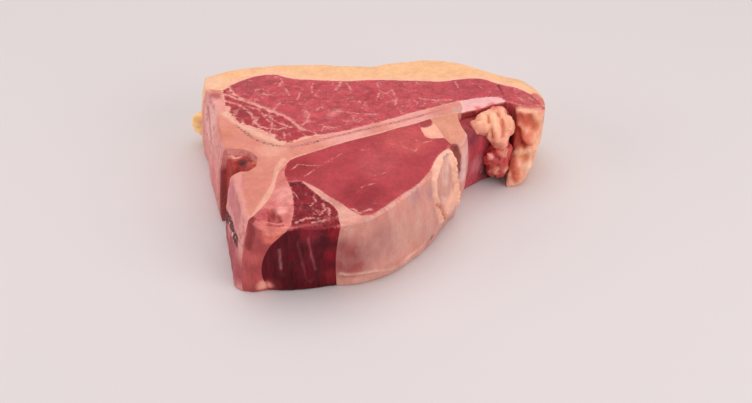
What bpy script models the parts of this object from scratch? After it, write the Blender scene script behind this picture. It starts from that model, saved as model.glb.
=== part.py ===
"""Raw T-bone steak, cut about 45 mm thick and lying on its underside.

The steak is a slab: every muscle, bone and fat seam runs from the underside to the cut face.
Its plan is drawn once, in millimetres, as posts joined by edges. A post gives the place of a
seam's end at the underside, half way up and at the cut face, so walls lean and belly as they
do in the meat. Neighbours share an edge and stand back from it by half the gap each.
The loose fat at the tail end is made of lobes that nest into the meat below them.
"""
import math

import bmesh
import bpy
from mathutils import Vector, noise

MM = 0.001            # the plan is in millimetres, the model in metres
THICKNESS = 45.0      # underside to cut face
GAP = 0.3             # between two pieces that touch
STEP = 6.4            # spacing of the wall's columns
FINE_STEP = 3.7       # spacing on small pieces
RIM_INSET = 1.3       # rounding of the outer wall at the cut face and the underside
RIM_HEIGHT = 1.6
BELLY_LEVELS = 4      # bands of the wall between the two rims
WOBBLE = 0.5          # unevenness of the walls
WOBBLE_SIZE = 14.0
FLANK_TOP = 40.0      # the tail meat ends below the cut face
LINING_TOP = 40.5     # so does the lining of the spinal canal
SLAB_DROP = 4.0       # the channel fat's face falls by this much towards its free end,
SLAB_DROP_FROM = 14.0  # starting at this place across the plan
LOW_RIM_INSET = RIM_INSET / 4   # a rim's rounding where it meets the straight wall
MITRE_FLOOR = 0.25    # sharpest corner that still gets a full mitre
MITRE_LIMIT = 2.5     # longest mitre, in half gaps
SPAN_SAMPLES = 16     # samples a span when an edge's length is measured
SHARP_EDGE = math.radians(40.0)

# where each post stands, in mm: (underside, half way up, cut face)
POSTS = {
    # free outer wall, clockwise from the chine side's back corner
    "back_left": ((-108.0, 64.0), (-107.5, 66.5), (-103.6, 65.7)),
    "back_1": ((-67.0, 78.0), (-66.6, 81.5), (-66.4, 79.2)),
    "back_2": ((-16.0, 78.5), (-16.0, 82.0), (-16.0, 79.6)),
    "back_3": ((33.5, 84.0), (34.0, 88.5), (33.5, 86.4)),
    "back_4": ((75.0, 66.0), (77.0, 70.0), (75.6, 68.4)),
    "right": ((94.6, 45.6), (100.3, 47.0), (98.2, 44.8)),
    "tail_back": ((92.4, 33.0), (97.2, 33.6), (98.8, 30.8)),
    "tail_corner": ((90.4, 24.0), (95.0, 22.6), (96.0, 25.4)),
    "tail_front": ((83.5, 15.0), (88.0, 17.0), (89.5, 27.0)),
    "tail_left": ((78.5, 13.0), (81.4, 18.6), (82.2, 28.6)),
    "tail_cleft": ((79.6, 32.0), (80.0, 34.3), (80.2, 36.3)),
    "flank_cleft": ((77.0, 32.5), (78.0, 34.6), (78.6, 36.8)),
    "flank_right": ((75.5, 27.0), (77.0, 24.0), (77.6, 23.0)),
    "flank_front": ((66.0, 22.0), (66.0, 19.0), (65.6, 17.6)),
    "flank_left": ((58.0, 15.7), (57.8, 14.4), (57.8, 13.8)),
    "slab_end": ((50.5, 9.8), (52.9, 7.0), (51.0, 6.5)),
    "slab_front": ((50.0, 3.4), (50.4, 0.8), (47.8, -1.6)),
    "slit_slab": ((46.6, 1.2), (44.8, -2.6), (41.6, -7.2)),
    "slit_flap": ((45.0, -2.0), (43.4, -5.6), (40.8, -9.8)),
    "flap_right": ((46.2, -9.0), (46.8, -10.6), (43.2, -12.6)),
    "flap_front": ((38.6, -23.5), (41.6, -24.0), (38.0, -20.5)),
    "front_3": ((31.4, -38.8), (32.8, -38.6), (30.6, -35.0)),
    "front_2": ((18.8, -54.6), (19.8, -55.6), (18.2, -52.5)),
    "front_1": ((4.0, -67.6), (4.8, -70.8), (4.2, -68.2)),
    "front_tip": ((-9.0, -73.6), (-9.4, -77.2), (-8.2, -77.9)),
    "side_right": ((-20.7, -75.0), (-20.8, -77.0), (-17.6, -80.8)),
    "side_mid": ((-38.0, -78.3), (-38.0, -80.8), (-31.0, -83.4)),
    "side_left": ((-56.6, -78.7), (-58.5, -80.3), (-43.3, -82.6)),
    "sinew_front": ((-63.5, -80.0), (-64.0, -81.4), (-55.0, -83.9)),
    "chine_front": ((-70.6, -79.4), (-69.0, -78.2), (-65.0, -75.2)),
    "chine_corner": ((-75.3, -75.6), (-71.9, -73.8), (-67.0, -71.0)),
    "chine_face": ((-79.2, -57.0), (-76.3, -55.0), (-72.1, -54.1)),
    "canal_front": ((-84.2, -32.6), (-81.6, -34.6), (-78.0, -37.1)),
    "canal_deep": ((-67.5, -26.0), (-66.0, -26.0), (-64.5, -25.9)),
    "canal_lining": ((-83.6, -18.6), (-84.2, -14.4), (-81.8, -10.0)),
    "canal_back": ((-88.2, -19.4), (-87.6, -15.2), (-84.0, -10.6)),
    "spine_face": ((-99.0, 20.0), (-95.8, 20.5), (-91.6, 23.1)),
    "spine_tip": ((-106.0, 48.5), (-105.3, 50.0), (-101.6, 52.0)),
    # where the seams meet inside the steak
    "tip_inner": ((-96.0, 49.5), (-94.5, 50.0), (-91.5, 50.0)),
    "loin_left": ((-92.0, 55.0), (-91.0, 55.2), (-88.0, 55.2)),
    "cap_mid": ((-21.7, 61.0), (-21.7, 61.0), (-21.7, 61.0)),
    "loin_tip": ((89.6, 36.0), (94.4, 35.8), (96.8, 33.2)),
    "inner_tip": ((-31.5, 2.4), (-31.5, 2.4), (-31.5, 2.4)),
    "bone_end_back": ((48.7, 38.3), (48.7, 38.3), (48.7, 38.3)),
    "bone_end_front": ((49.4, 26.2), (49.4, 26.2), (49.4, 26.2)),
    "channel_back": ((47.2, 25.4), (47.2, 25.4), (47.2, 25.4)),
    "seam_back": ((31.0, 18.9), (31.0, 18.9), (31.0, 18.9)),
    "seam_left": ((24.6, 15.2), (24.6, 15.2), (24.6, 15.2)),
    "seam_front": ((39.0, 0.4), (38.8, -0.2), (38.4, -0.6)),
    "fillet_left": ((-48.5, -23.0), (-48.0, -22.8), (-46.8, -22.4)),
    "side_back": ((-50.0, -42.0), (-49.6, -42.2), (-47.0, -42.2)),
    "tongue_tip": ((-39.6, -41.6), (-39.6, -41.6), (-39.6, -41.6)),
    "tip_gristle": ((75.0, 37.6), (75.4, 38.0), (75.7, 38.3)),
}

# every edge of the plan: the posts it passes and, between them, points of the cut face
EDGES = {
    "cap_wall": ["back_left", (-95.1, 70.6), (-84.0, 75.8), "back_1", (-47.0, 80.9), (-28.4, 80.7),
                 "back_2", (-3.7, 79.0), (9.0, 82.4), "back_3", (49.5, 83.6), (64.0, 75.2), "back_4",
                 (86.6, 63.4), (93.8, 55.2), "right", (99.0, 38.0), "tail_back"],
    "cap_face": ["spine_tip", (-103.0, 59.0), "back_left"],
    "cap_spine": ["spine_tip", (-96.0, 51.2), "tip_inner"],
    "cap_inner": ["tip_inner", "loin_left"],
    "cap_loin": ["loin_left", (-79.0, 63.5), (-69.0, 68.0), (-60.0, 68.2), (-53.0, 64.4),
                 (-40.0, 62.6), "cap_mid", (-3.6, 62.1), (20.0, 61.8), (38.6, 61.0), (53.0, 63.4),
                 (64.0, 63.4), (74.0, 57.8), (84.2, 53.2), (90.8, 47.2), (95.2, 40.6), "loin_tip"],
    "cap_tail": ["tail_back", "loin_tip"],
    "loin_tail": ["loin_tip", (88.0, 32.2), "tail_cleft"],
    "loin_cleft": ["tail_cleft", "flank_cleft"],
    "loin_flank": ["flank_cleft", "tip_gristle"],
    "loin_gristle": ["bone_end_back", (58.0, 41.2), (67.3, 43.0), (73.6, 42.0), "tip_gristle"],
    "loin_bone": ["inner_tip", (-20.3, 5.6), (-9.1, 10.2), (2.3, 15.8), (13.8, 22.0),
                  (31.0, 30.6), "bone_end_back"],
    "loin_inner": ["loin_left", (-83.6, 46.0), (-72.5, 37.0), (-61.4, 27.8), (-50.6, 20.0),
                   (-42.5, 9.5), "inner_tip"],
    "inner_bone": ["tip_inner", (-89.4, 38.5), (-84.6, 25.3), (-78.5, 13.6), (-72.0, 11.4),
                   (-64.0, 6.6), (-58.0, 1.0), (-50.6, -6.2), (-40.5, -2.2), "inner_tip"],
    "bone_end": ["bone_end_back", (50.4, 32.2), "bone_end_front"],
    "bone_flank": ["bone_end_front", "channel_back"],
    "bone_channel": ["seam_back", (39.0, 22.8), "channel_back"],
    "bone_seam": ["seam_left", "seam_back"],
    "fillet_bone": ["fillet_left", (-41.6, -18.4), (-30.9, -12.0), (-20.0, -6.3), (-9.0, -0.9),
                    (2.3, 4.6), (13.6, 9.8), "seam_left"],
    "bone_sinew": ["fillet_left", (-52.3, -34.0), (-53.4, -45.2), (-55.4, -56.7), (-60.0, -67.0),
                   "chine_front"],
    "chine_front_edge": ["chine_front", "chine_corner"],
    "chine_edge": ["chine_corner", "chine_face", "canal_front"],
    "canal_floor": ["canal_front", (-73.8, -32.0), (-68.6, -31.0), "canal_deep"],
    "canal_roof": ["canal_deep", (-64.6, -20.6), (-68.0, -14.4), (-74.5, -10.9), "canal_lining"],
    "canal_lip": ["canal_lining", "canal_back"],
    "spine_edge": ["canal_back", (-87.8, 6.5), "spine_face", (-96.5, 40.0), "spine_tip"],
    "lining_wall": ["canal_deep", (-68.6, -22.4), (-72.4, -17.8), (-77.6, -15.2), "canal_lining"],
    "sinew_fillet": ["fillet_left", (-49.4, -31.5), "side_back"],
    "sinew_side": ["side_back", (-44.2, -52.0), (-42.4, -63.0), "side_left"],
    "sinew_wall": ["chine_front", "sinew_front", "side_left"],
    "fillet_side": ["side_back", (-43.4, -43.9), "tongue_tip"],
    "fillet_sheath": ["tongue_tip", (-33.3, -45.8), (-25.1, -54.6), (-18.0, -61.6), (-10.7, -69.3),
                      (-5.8, -72.4), (2.4, -66.3), (13.4, -53.8), (23.5, -42.2), (29.0, -31.6),
                      (34.2, -18.0), "slit_flap"],
    "tongue_side": ["tongue_tip", (-33.0, -50.6), (-26.5, -58.6), (-21.2, -64.4), (-19.0, -73.0),
                    "side_right"],
    "side_wall": ["side_left", "side_mid", "side_right"],
    "sheath_wall": ["side_right", "front_tip", "front_1", "front_2", "front_3", "flap_front",
                    "flap_right", "slit_flap"],
    "slit_wall": ["slit_flap", "slit_slab"],
    "seam_fillet": ["seam_left", (26.0, 6.0), (29.0, -0.2), "seam_front"],
    "seam_channel": ["seam_back", (35.2, 9.8), "seam_front"],
    "fillet_channel": ["seam_front", "slit_slab"],
    "slab_wall": ["slit_slab", "slab_front", "slab_end"],
    "channel_flank": ["channel_back", (47.6, 16.0), "slab_end"],
    "flank_gristle": ["bone_end_front", (57.0, 29.6), (66.6, 34.0), "tip_gristle"],
    "flank_wall": ["slab_end", "flank_left", "flank_front", "flank_right", "flank_cleft"],
    "tail_wall": ["tail_cleft", "tail_left", "tail_front", "tail_corner", "tail_back"],
}
FREE_WALLS = {"cap_wall", "cap_face", "loin_cleft", "chine_front_edge", "chine_edge", "canal_floor",
              "canal_lip", "spine_edge", "lining_wall", "sinew_wall", "side_wall", "sheath_wall",
              "slit_wall", "slab_wall", "flank_wall", "tail_wall"}
FINE_EDGES = {"cap_tail", "canal_floor", "canal_roof", "canal_lip", "lining_wall", "chine_front_edge",
              "slit_wall", "slab_wall", "tail_wall", "flank_wall", "seam_fillet", "seam_channel",
              "bone_seam", "fillet_channel", "loin_gristle", "flank_gristle", "bone_end", "loin_tail"}

# each piece: its edges in order round its outline, "-" where an edge is followed backwards
PIECES = {
    "fat_cap": ["cap_wall", "cap_tail", "-cap_loin", "-cap_inner", "-cap_spine", "cap_face"],
    "strip_loin": ["cap_loin", "loin_tail", "loin_cleft", "loin_flank", "-loin_gristle",
                   "-loin_bone", "-loin_inner"],
    "inner_loin": ["cap_inner", "loin_inner", "-inner_bone"],
    "t_bone": ["cap_spine", "inner_bone", "loin_bone", "bone_end", "bone_flank", "-bone_channel",
               "-bone_seam", "-fillet_bone", "bone_sinew", "chine_front_edge", "chine_edge",
               "canal_floor", "canal_roof", "canal_lip", "spine_edge"],
    "canal_lining": ["canal_roof", "-lining_wall"],
    "bone_sinew": ["sinew_fillet", "sinew_side", "-sinew_wall", "-bone_sinew"],
    "gristle_tip": ["loin_gristle", "-flank_gristle", "-bone_end"],
    "fillet": ["fillet_bone", "seam_fillet", "fillet_channel", "-slit_wall", "-fillet_sheath",
               "-fillet_side", "-sinew_fillet"],
    "side_muscle": ["fillet_side", "tongue_side", "-side_wall", "-sinew_side"],
    "fillet_fat": ["fillet_sheath", "-sheath_wall", "-tongue_side"],
    "seam_fat": ["bone_seam", "seam_channel", "-seam_fillet"],
    "channel_fat": ["bone_channel", "channel_flank", "-slab_wall", "-fillet_channel",
                    "-seam_channel"],
    "flank_meat": ["-bone_flank", "flank_gristle", "-loin_flank", "-flank_wall", "-channel_flank"],
    "tail_flap": ["-loin_tail", "-cap_tail", "-tail_wall"],
}

# loose pieces: lobes as (centre, radius) round a core, all in mm
LUMPS = {
    "fat_lump": {
        "core": (68.5, 22.0, 37.5),
        "lobes": [((66.0, 23.0, 38.0), 7.0), ((74.0, 22.5, 37.2), 6.6), ((70.0, 17.5, 35.5), 6.2),
                  ((70.5, 27.0, 38.6), 6.4), ((72.0, 16.0, 30.8), 4.6), ((59.8, 19.0, 39.6), 5.2),
                  ((62.8, 23.5, 39.6), 5.6)],
        "detail": 3, "crinkle": 0.5},
    "trim_lump": {
        "core": (71.3, 19.0, 18.0),
        "lobes": [((71.5, 18.5, 11.5), 6.0), ((71.2, 19.0, 18.5), 7.2), ((72.2, 18.6, 25.0), 6.8),
                  ((68.6, 15.6, 19.5), 5.0)],
        "detail": 3, "crinkle": 0.8},
    "fat_scrap": {
        "core": (-109.0, 59.0, 16.5),
        "lobes": [((-108.8, 59.0, 11.0), 4.2), ((-109.4, 60.0, 16.5), 4.8), ((-108.8, 57.5, 21.5), 4.0)],
        "detail": 2, "crinkle": 0.3},
}
SCRAP_FACE_X = -108.0     # the scrap lies flat against the fat cap's sawn end
LUMP_CEILING = 45.6
CRINKLE_SIZE = 4.0

# colour and roughness of each tissue
TISSUES = {
    "fat": ((0.86, 0.62, 0.38), 0.45),
    "soft_fat": ((0.84, 0.55, 0.38), 0.45),
    "muscle": ((0.50, 0.09, 0.10), 0.35),
    "dark_muscle": ((0.22, 0.02, 0.03), 0.25),
    "bone": ((0.78, 0.45, 0.33), 0.50),
    "sinew": ((0.75, 0.33, 0.30), 0.35),
    "gristle": ((0.85, 0.45, 0.45), 0.30),
}
PIECE_TISSUE = {
    "fat_cap": "fat", "fat_scrap": "fat", "fillet_fat": "fat", "seam_fat": "fat",
    "channel_fat": "soft_fat", "tail_flap": "soft_fat", "fat_lump": "soft_fat",
    "strip_loin": "muscle", "inner_loin": "muscle", "fillet": "muscle", "flank_meat": "muscle",
    "trim_lump": "muscle", "side_muscle": "dark_muscle", "canal_lining": "sinew",
    "bone_sinew": "sinew", "t_bone": "bone", "gristle_tip": "gristle",
}


def clear_scene():
    for leftover in list(bpy.data.objects):
        bpy.data.objects.remove(leftover, do_unlink=True)


def post_at(name, height):
    """The post's place at a height from 0, underside, to 1, cut face: a parabola through its three."""
    low, middle, high = (Vector(point) for point in POSTS[name])
    bend = 2 * (low + high) - 4 * middle
    return low + height * (high - low - bend) + height * height * bend


def control_points(edge, height):
    """The edge's control points at a height: plain points lean as the posts on either side do."""
    stops = EDGES[edge]
    top = [post_at(stop, 1.0) if isinstance(stop, str) else Vector(stop) for stop in stops]
    along = [0.0]
    for before, after in zip(top, top[1:]):
        along.append(along[-1] + (after - before).length)
    fixed = [index for index, stop in enumerate(stops) if isinstance(stop, str)]
    shift = {index: post_at(stops[index], height) - top[index] for index in fixed}
    points = []
    for index, point in enumerate(top):
        start = max(place for place in fixed if place <= index)
        end = min(place for place in fixed if place >= index)
        part = 0.0 if start == end else (along[index] - along[start]) / (along[end] - along[start])
        points.append(point + shift[start].lerp(shift[end], part))
    return points


def spline_point(points, place):
    """A point of the smooth curve through points, place counting spans from 0."""
    span = min(int(place), len(points) - 2)
    part = place - span
    start, end = points[span], points[span + 1]
    length = (end - start).length

    def slope(index):
        if index == 0:
            return (points[1] - points[0]).normalized()
        if index == len(points) - 1:
            return (points[-1] - points[-2]).normalized()
        back, ahead = points[index] - points[index - 1], points[index + 1] - points[index]
        mean = back / back.length * ahead.length + ahead / ahead.length * back.length
        return mean / (back.length + ahead.length)

    squared, cubed = part ** 2, part ** 3
    return ((2 * cubed - 3 * squared + 1) * start + (3 * squared - 2 * cubed) * end
            + length * ((cubed - 2 * squared + part) * slope(span) + (cubed - squared) * slope(span + 1)))


def edge_places(edge):
    """Where along the edge its wall columns stand: evenly spaced at the cut face."""
    points = control_points(edge, 1.0)
    samples = SPAN_SAMPLES * (len(points) - 1)
    places = [index / SPAN_SAMPLES for index in range(samples + 1)]
    curve = [spline_point(points, place) for place in places]
    along = [0.0]
    for before, after in zip(curve, curve[1:]):
        along.append(along[-1] + (after - before).length)
    step = FINE_STEP if edge in FINE_EDGES else STEP
    columns = max(1, round(along[-1] / step))
    chosen = []
    for column in range(columns + 1):
        target = along[-1] * column / columns
        after = next(index for index, length in enumerate(along) if length >= target - 1e-9)
        after = max(after, 1)
        part = (target - along[after - 1]) / (along[after] - along[after - 1])
        chosen.append(places[after - 1] + part * (places[after] - places[after - 1]))
    return chosen


PLACES = {edge: edge_places(edge) for edge in EDGES}


def wobble(point, z):
    """A slow, small shift of the whole plan, the same for every piece."""
    spot = Vector((point.x, point.y, z)) / WOBBLE_SIZE
    return Vector((noise.noise(spot), noise.noise(spot + Vector((31.0, 17.0, 5.0))))) * WOBBLE


def edge_column(edge, index, z):
    point = spline_point(control_points(edge, z / THICKNESS), PLACES[edge][index])
    return point + wobble(point, z)


def top_height(piece, point):
    """Height of the piece's cut face above a point of its outline."""
    if piece == "flank_meat":
        return FLANK_TOP
    if piece == "canal_lining":
        return LINING_TOP
    if piece == "channel_fat":
        slope = (SLAB_DROP_FROM - point.y) / SLAB_DROP_FROM
        return THICKNESS - SLAB_DROP * min(max(slope, 0.0), 1.0)
    return THICKNESS


def outline(piece):
    """The outline's columns, once round: edge, column number, and whether it runs backwards."""
    columns = []
    for name in PIECES[piece]:
        edge = name.lstrip("-")
        order = range(len(PLACES[edge]))
        if name.startswith("-"):
            order = reversed(order)
        for index in list(order)[:-1]:
            columns.append((edge, index, name.startswith("-")))
    return columns


def inward(ring, index, sign, free_before, free_after):
    """Half the gap as a vector, and the way a rim's column moves in: square to a free wall, or
    along the seam where one ends in the wall."""
    here = ring[index]
    back = (here - ring[index - 1]).normalized()
    ahead = (ring[(index + 1) % len(ring)] - here).normalized()
    normals = [Vector((-side.y, side.x)) * sign for side in (back, ahead)]
    both = (normals[0] + normals[1]).normalized()
    mitre = min(1.0 / max(both.dot(normals[0]), MITRE_FLOOR), MITRE_LIMIT)
    if free_before and free_after:
        rim = both
    elif free_before:
        rim = ahead
    elif free_after:
        rim = -back
    else:
        rim = Vector((0.0, 0.0))
    return both * mitre * GAP / 2, rim


def ring_height(share, top):
    """A ring's height: neighbours' rings are level with each other up to the lower one's rim."""
    rim_height = top - RIM_HEIGHT
    if share == 1.0:
        return top
    return min(share * THICKNESS, rim_height)


def slab_piece(piece):
    """One prism of the steak, its wall in level rings that lean and belly as the posts say."""
    columns = outline(piece)
    count = len(columns)
    rim_share = RIM_HEIGHT / THICKNESS
    band_share = (1 - 2 * rim_share) / BELLY_LEVELS
    shares = [0.0] + [rim_share + band_share * band for band in range(BELLY_LEVELS + 1)] + [1.0]
    insets = [RIM_INSET, LOW_RIM_INSET] + [0.0] * (BELLY_LEVELS - 1) + [LOW_RIM_INSET, RIM_INSET]
    plan = [edge_column(edge, index, THICKNESS) for edge, index, _ in columns]
    area = sum(a.x * b.y - b.x * a.y for a, b in zip(plan, plan[1:] + plan[:1]))
    sign = 1.0 if area > 0 else -1.0
    mesh = bmesh.new()
    rings = []
    for share, inset in zip(shares, insets):
        heights = [ring_height(share, top_height(piece, point)) for point in plan]
        ring = [edge_column(edge, index, z) for (edge, index, _), z in zip(columns, heights)]
        verts = []
        for index in range(count):
            free_before = columns[index - 1][0] in FREE_WALLS
            free_after = columns[index][0] in FREE_WALLS
            half_gap, rim = inward(ring, index, sign, free_before, free_after)
            spot = ring[index] + half_gap + rim * inset
            verts.append(mesh.verts.new((spot.x * MM, spot.y * MM, heights[index] * MM)))
        rings.append(verts)
    for low, high in zip(rings, rings[1:]):
        for index in range(count):
            after = (index + 1) % count
            # both pieces at a seam fold its wall along the same diagonals
            if columns[index][2]:
                corners = [(low[index], low[after], high[index]), (low[after], high[after], high[index])]
            else:
                corners = [(low[index], low[after], high[after]), (low[index], high[after], high[index])]
            for face in corners:
                mesh.faces.new(face)
    caps = [mesh.faces.new(rings[0]), mesh.faces.new(rings[-1])]
    bmesh.ops.triangulate(mesh, faces=caps)
    bmesh.ops.recalc_face_normals(mesh, faces=mesh.faces)
    return add_object(piece, mesh)


def lump_mesh(name, grow):
    """A cluster of lobes seen from its core: each ray runs out to the farthest lobe it meets."""
    shape = LUMPS[name]
    core = Vector(shape["core"])
    mesh = bmesh.new()
    bmesh.ops.create_icosphere(mesh, subdivisions=shape["detail"], radius=1.0)
    for vert in mesh.verts:
        ray = vert.co.normalized()
        reach = 1.0
        for centre, radius in shape["lobes"]:
            offset = Vector(centre) - core
            along = ray.dot(offset)
            inside = along ** 2 - offset.length_squared + radius ** 2
            if inside > 0:
                reach = max(reach, along + math.sqrt(inside))
        reach += noise.noise((core + ray * reach) / CRINKLE_SIZE) * shape["crinkle"] + grow
        spot = core + ray * reach
        spot.z = min(spot.z, LUMP_CEILING + grow)
        if name == "fat_scrap":
            spot.x = min(spot.x, SCRAP_FACE_X)
        vert.co = spot * MM
    return mesh


def cut(target, name):
    """Cuts the place of a lump, and the gap round it, out of the piece that it nests in."""
    cutter = add_object(name + "_cutter_" + target.name, lump_mesh(name, GAP))
    cutter.hide_render = True
    cutter.display_type = "WIRE"
    boolean = target.modifiers.new("seat_" + name, "BOOLEAN")
    boolean.operation = "DIFFERENCE"
    boolean.object = cutter
    boolean.solver = "EXACT"


def tissue_material(tissue):
    colour, roughness = TISSUES[tissue]
    material = bpy.data.materials.new(tissue)
    material.use_nodes = True
    shader = material.node_tree.nodes["Principled BSDF"]
    shader.inputs["Base Color"].default_value = (*colour, 1.0)
    shader.inputs["Roughness"].default_value = roughness
    shader.inputs["Metallic"].default_value = 0.0
    return material


def add_object(name, mesh):
    data = bpy.data.meshes.new(name)
    mesh.to_mesh(data)
    mesh.free()
    made = bpy.data.objects.new(name, data)
    bpy.context.scene.collection.objects.link(made)
    return made


def centre_on_footprint(objects):
    """Moves every mesh so that the origin is the middle of the footprint, on the underside."""
    bpy.context.view_layer.update()
    corners = [vert.co for made in objects if not made.hide_render for vert in made.data.vertices]
    low = Vector(min(corner[axis] for corner in corners) for axis in range(3))
    high = Vector(max(corner[axis] for corner in corners) for axis in range(3))
    shift = Vector((-(low.x + high.x) / 2, -(low.y + high.y) / 2, -low.z))
    for made in objects:
        for vert in made.data.vertices:
            vert.co += shift


def main():
    clear_scene()
    pieces = {name: slab_piece(name) for name in PIECES}
    for name in LUMPS:
        pieces[name] = add_object(name, lump_mesh(name, 0.0))
    cut(pieces["flank_meat"], "fat_lump")
    cut(pieces["flank_meat"], "trim_lump")
    cut(pieces["trim_lump"], "fat_lump")
    materials = {tissue: tissue_material(tissue) for tissue in TISSUES}
    for name, piece in pieces.items():
        piece.data.materials.append(materials[PIECE_TISSUE[name]])
        piece.data.shade_smooth()
        piece.data.set_sharp_from_angle(angle=SHARP_EDGE)
    centre_on_footprint([made for made in bpy.data.objects if made.type == "MESH"])


main()
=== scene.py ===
"""Raw T-bone steak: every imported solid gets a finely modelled, wet-looking piece of its own.

Slab pieces follow the solid's level rings with smooth curves, rounded rims and a triangulated
cut face; loose lumps are voxel remeshed and sculpted. Lengths are in millimetres until a mesh
is made. Colours are painted on the vertices from named spots and lines, and the node materials
add grain, marbling, specks and gloss.
"""
import math

import bmesh
import bpy
import numpy as np
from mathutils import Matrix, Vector, noise
from mathutils.bvhtree import BVHTree
from mathutils.geometry import delaunay_2d_cdt


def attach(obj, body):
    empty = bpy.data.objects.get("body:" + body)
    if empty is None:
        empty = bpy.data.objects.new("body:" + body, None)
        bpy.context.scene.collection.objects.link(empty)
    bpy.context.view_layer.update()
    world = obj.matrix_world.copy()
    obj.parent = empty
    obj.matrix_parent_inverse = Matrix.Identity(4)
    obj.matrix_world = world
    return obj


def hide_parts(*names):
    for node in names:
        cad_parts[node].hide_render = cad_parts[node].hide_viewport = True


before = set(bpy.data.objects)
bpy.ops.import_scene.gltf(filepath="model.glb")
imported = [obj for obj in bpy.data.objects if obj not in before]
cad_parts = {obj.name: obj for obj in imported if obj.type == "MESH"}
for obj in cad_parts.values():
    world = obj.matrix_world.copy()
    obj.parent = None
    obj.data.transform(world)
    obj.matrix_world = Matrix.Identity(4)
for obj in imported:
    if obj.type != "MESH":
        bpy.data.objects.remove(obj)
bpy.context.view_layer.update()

MM = 0.001
COLUMN_STEP = 0.65     # spacing of the fine wall columns
LATTICE_STEP = 0.6     # spacing of points on the cut face
SWELL = 0.3            # each piece grows by this, so that neighbours meet without a gap
SEAM_DIP = 0.12        # the cut face sinks by this at its seams
CORNER_ANGLE = 38.0
TOP_RIM_STEPS = 4
LOW_RIM_STEPS = 3
WALL_STEPS = 40        # between the two rims
FREE_FROM, FREE_TO = 0.7, 3.5   # a wall moves freely from this far off its neighbours

LOOSE = ("flank_meat", "fat_lump", "trim_lump", "fat_scrap")
LOOSE_VOXEL = 0.7
SCRAP_REACH = 1.6

CAMERA_AIM = Vector((6.8216, -2.3846, 0.0))
CAMERA_DISTANCE = 668.0
CAMERA_ELEVATION = 37.0
CAMERA_LENS = 54.77
SENSOR = 36.0


# ---------------------------------------------------------------- small helpers

def linear(colour):
    share = np.asarray(colour, float) / 255.0
    return np.where(share <= 0.04045, share / 12.92, ((share + 0.055) / 1.055) ** 2.4)


def smooth(value, low, high):
    share = np.clip((value - low) / (high - low), 0.0, 1.0)
    return share * share * (3.0 - 2.0 * share)


def rough(points, size, seed=0.0, octaves=1):
    """Noise in -1..1 at every point, its lumps about size across."""
    if octaves == 1:
        return np.array([noise.noise(Vector(p)) for p in points / size + seed])
    return np.array([noise.fractal(Vector(p), 1.0, 2.0, octaves) for p in points / size + seed])


def line_distance(points, line):
    """Distance from every point to an open line of points in space."""
    best = np.full(len(points), 1e9)
    stops = [np.array(stop, float) for stop in line]
    for start, end in zip(stops, stops[1:]):
        along = end - start
        share = np.clip((points - start) @ along / (along @ along), 0.0, 1.0)
        best = np.minimum(best, np.linalg.norm(points - start - share[:, None] * along, axis=1))
    return best


def spot_distance(points, centre):
    return np.linalg.norm(points - np.array(centre, float), axis=1)


# ---------------------------------------------------------------- the solid's rings

def welded(name):
    mesh = bmesh.new()
    mesh.from_mesh(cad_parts[name].data)
    bmesh.ops.remove_doubles(mesh, verts=mesh.verts, dist=1e-6)
    return mesh


def level_rings(name):
    """The solid's outline at each of its levels, underside first, all counterclockwise and
    starting at the same column: an array of levels x columns x 3."""
    mesh = welded(name)
    level = {vert: 0 for vert in mesh.verts if vert.co.z < 0.1 * MM}
    front = list(level)
    while front:
        ahead = []
        for vert in front:
            for edge in vert.link_edges:
                other = edge.other_vert(vert)
                if other not in level:
                    level[other] = level[vert] + 1
                    ahead.append(other)
        front = ahead
    rings = []
    for number in range(max(level.values()) + 1):
        links = {}
        for face in mesh.faces:
            own = [vert for vert in face.verts if level[vert] == number]
            if len(own) == 2 and any(level[vert] != number for vert in face.verts):
                links.setdefault(own[0], set()).add(own[1])
                links.setdefault(own[1], set()).add(own[0])
        start = next(iter(links))
        loop, before = [start], None
        while True:
            after = next(vert for vert in links[loop[-1]] if vert is not before)
            if after is start:
                break
            before = loop[-1]
            loop.append(after)
        ring = np.array([vert.co[:] for vert in loop]) / MM
        turned = np.roll(ring, -1, axis=0)
        if (ring[:, 0] * turned[:, 1] - turned[:, 0] * ring[:, 1]).sum() < 0:
            ring = ring[::-1]
        if rings:
            shifts = [np.roll(ring, -shift, axis=0) for shift in range(len(ring))]
            ring = min(shifts, key=lambda moved: ((moved - rings[-1])[:, :2] ** 2).sum())
        rings.append(ring)
    mesh.free()
    return np.array(rings)


def unit(vectors):
    return vectors / np.maximum(np.linalg.norm(vectors, axis=-1, keepdims=True), 1e-9)


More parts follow.
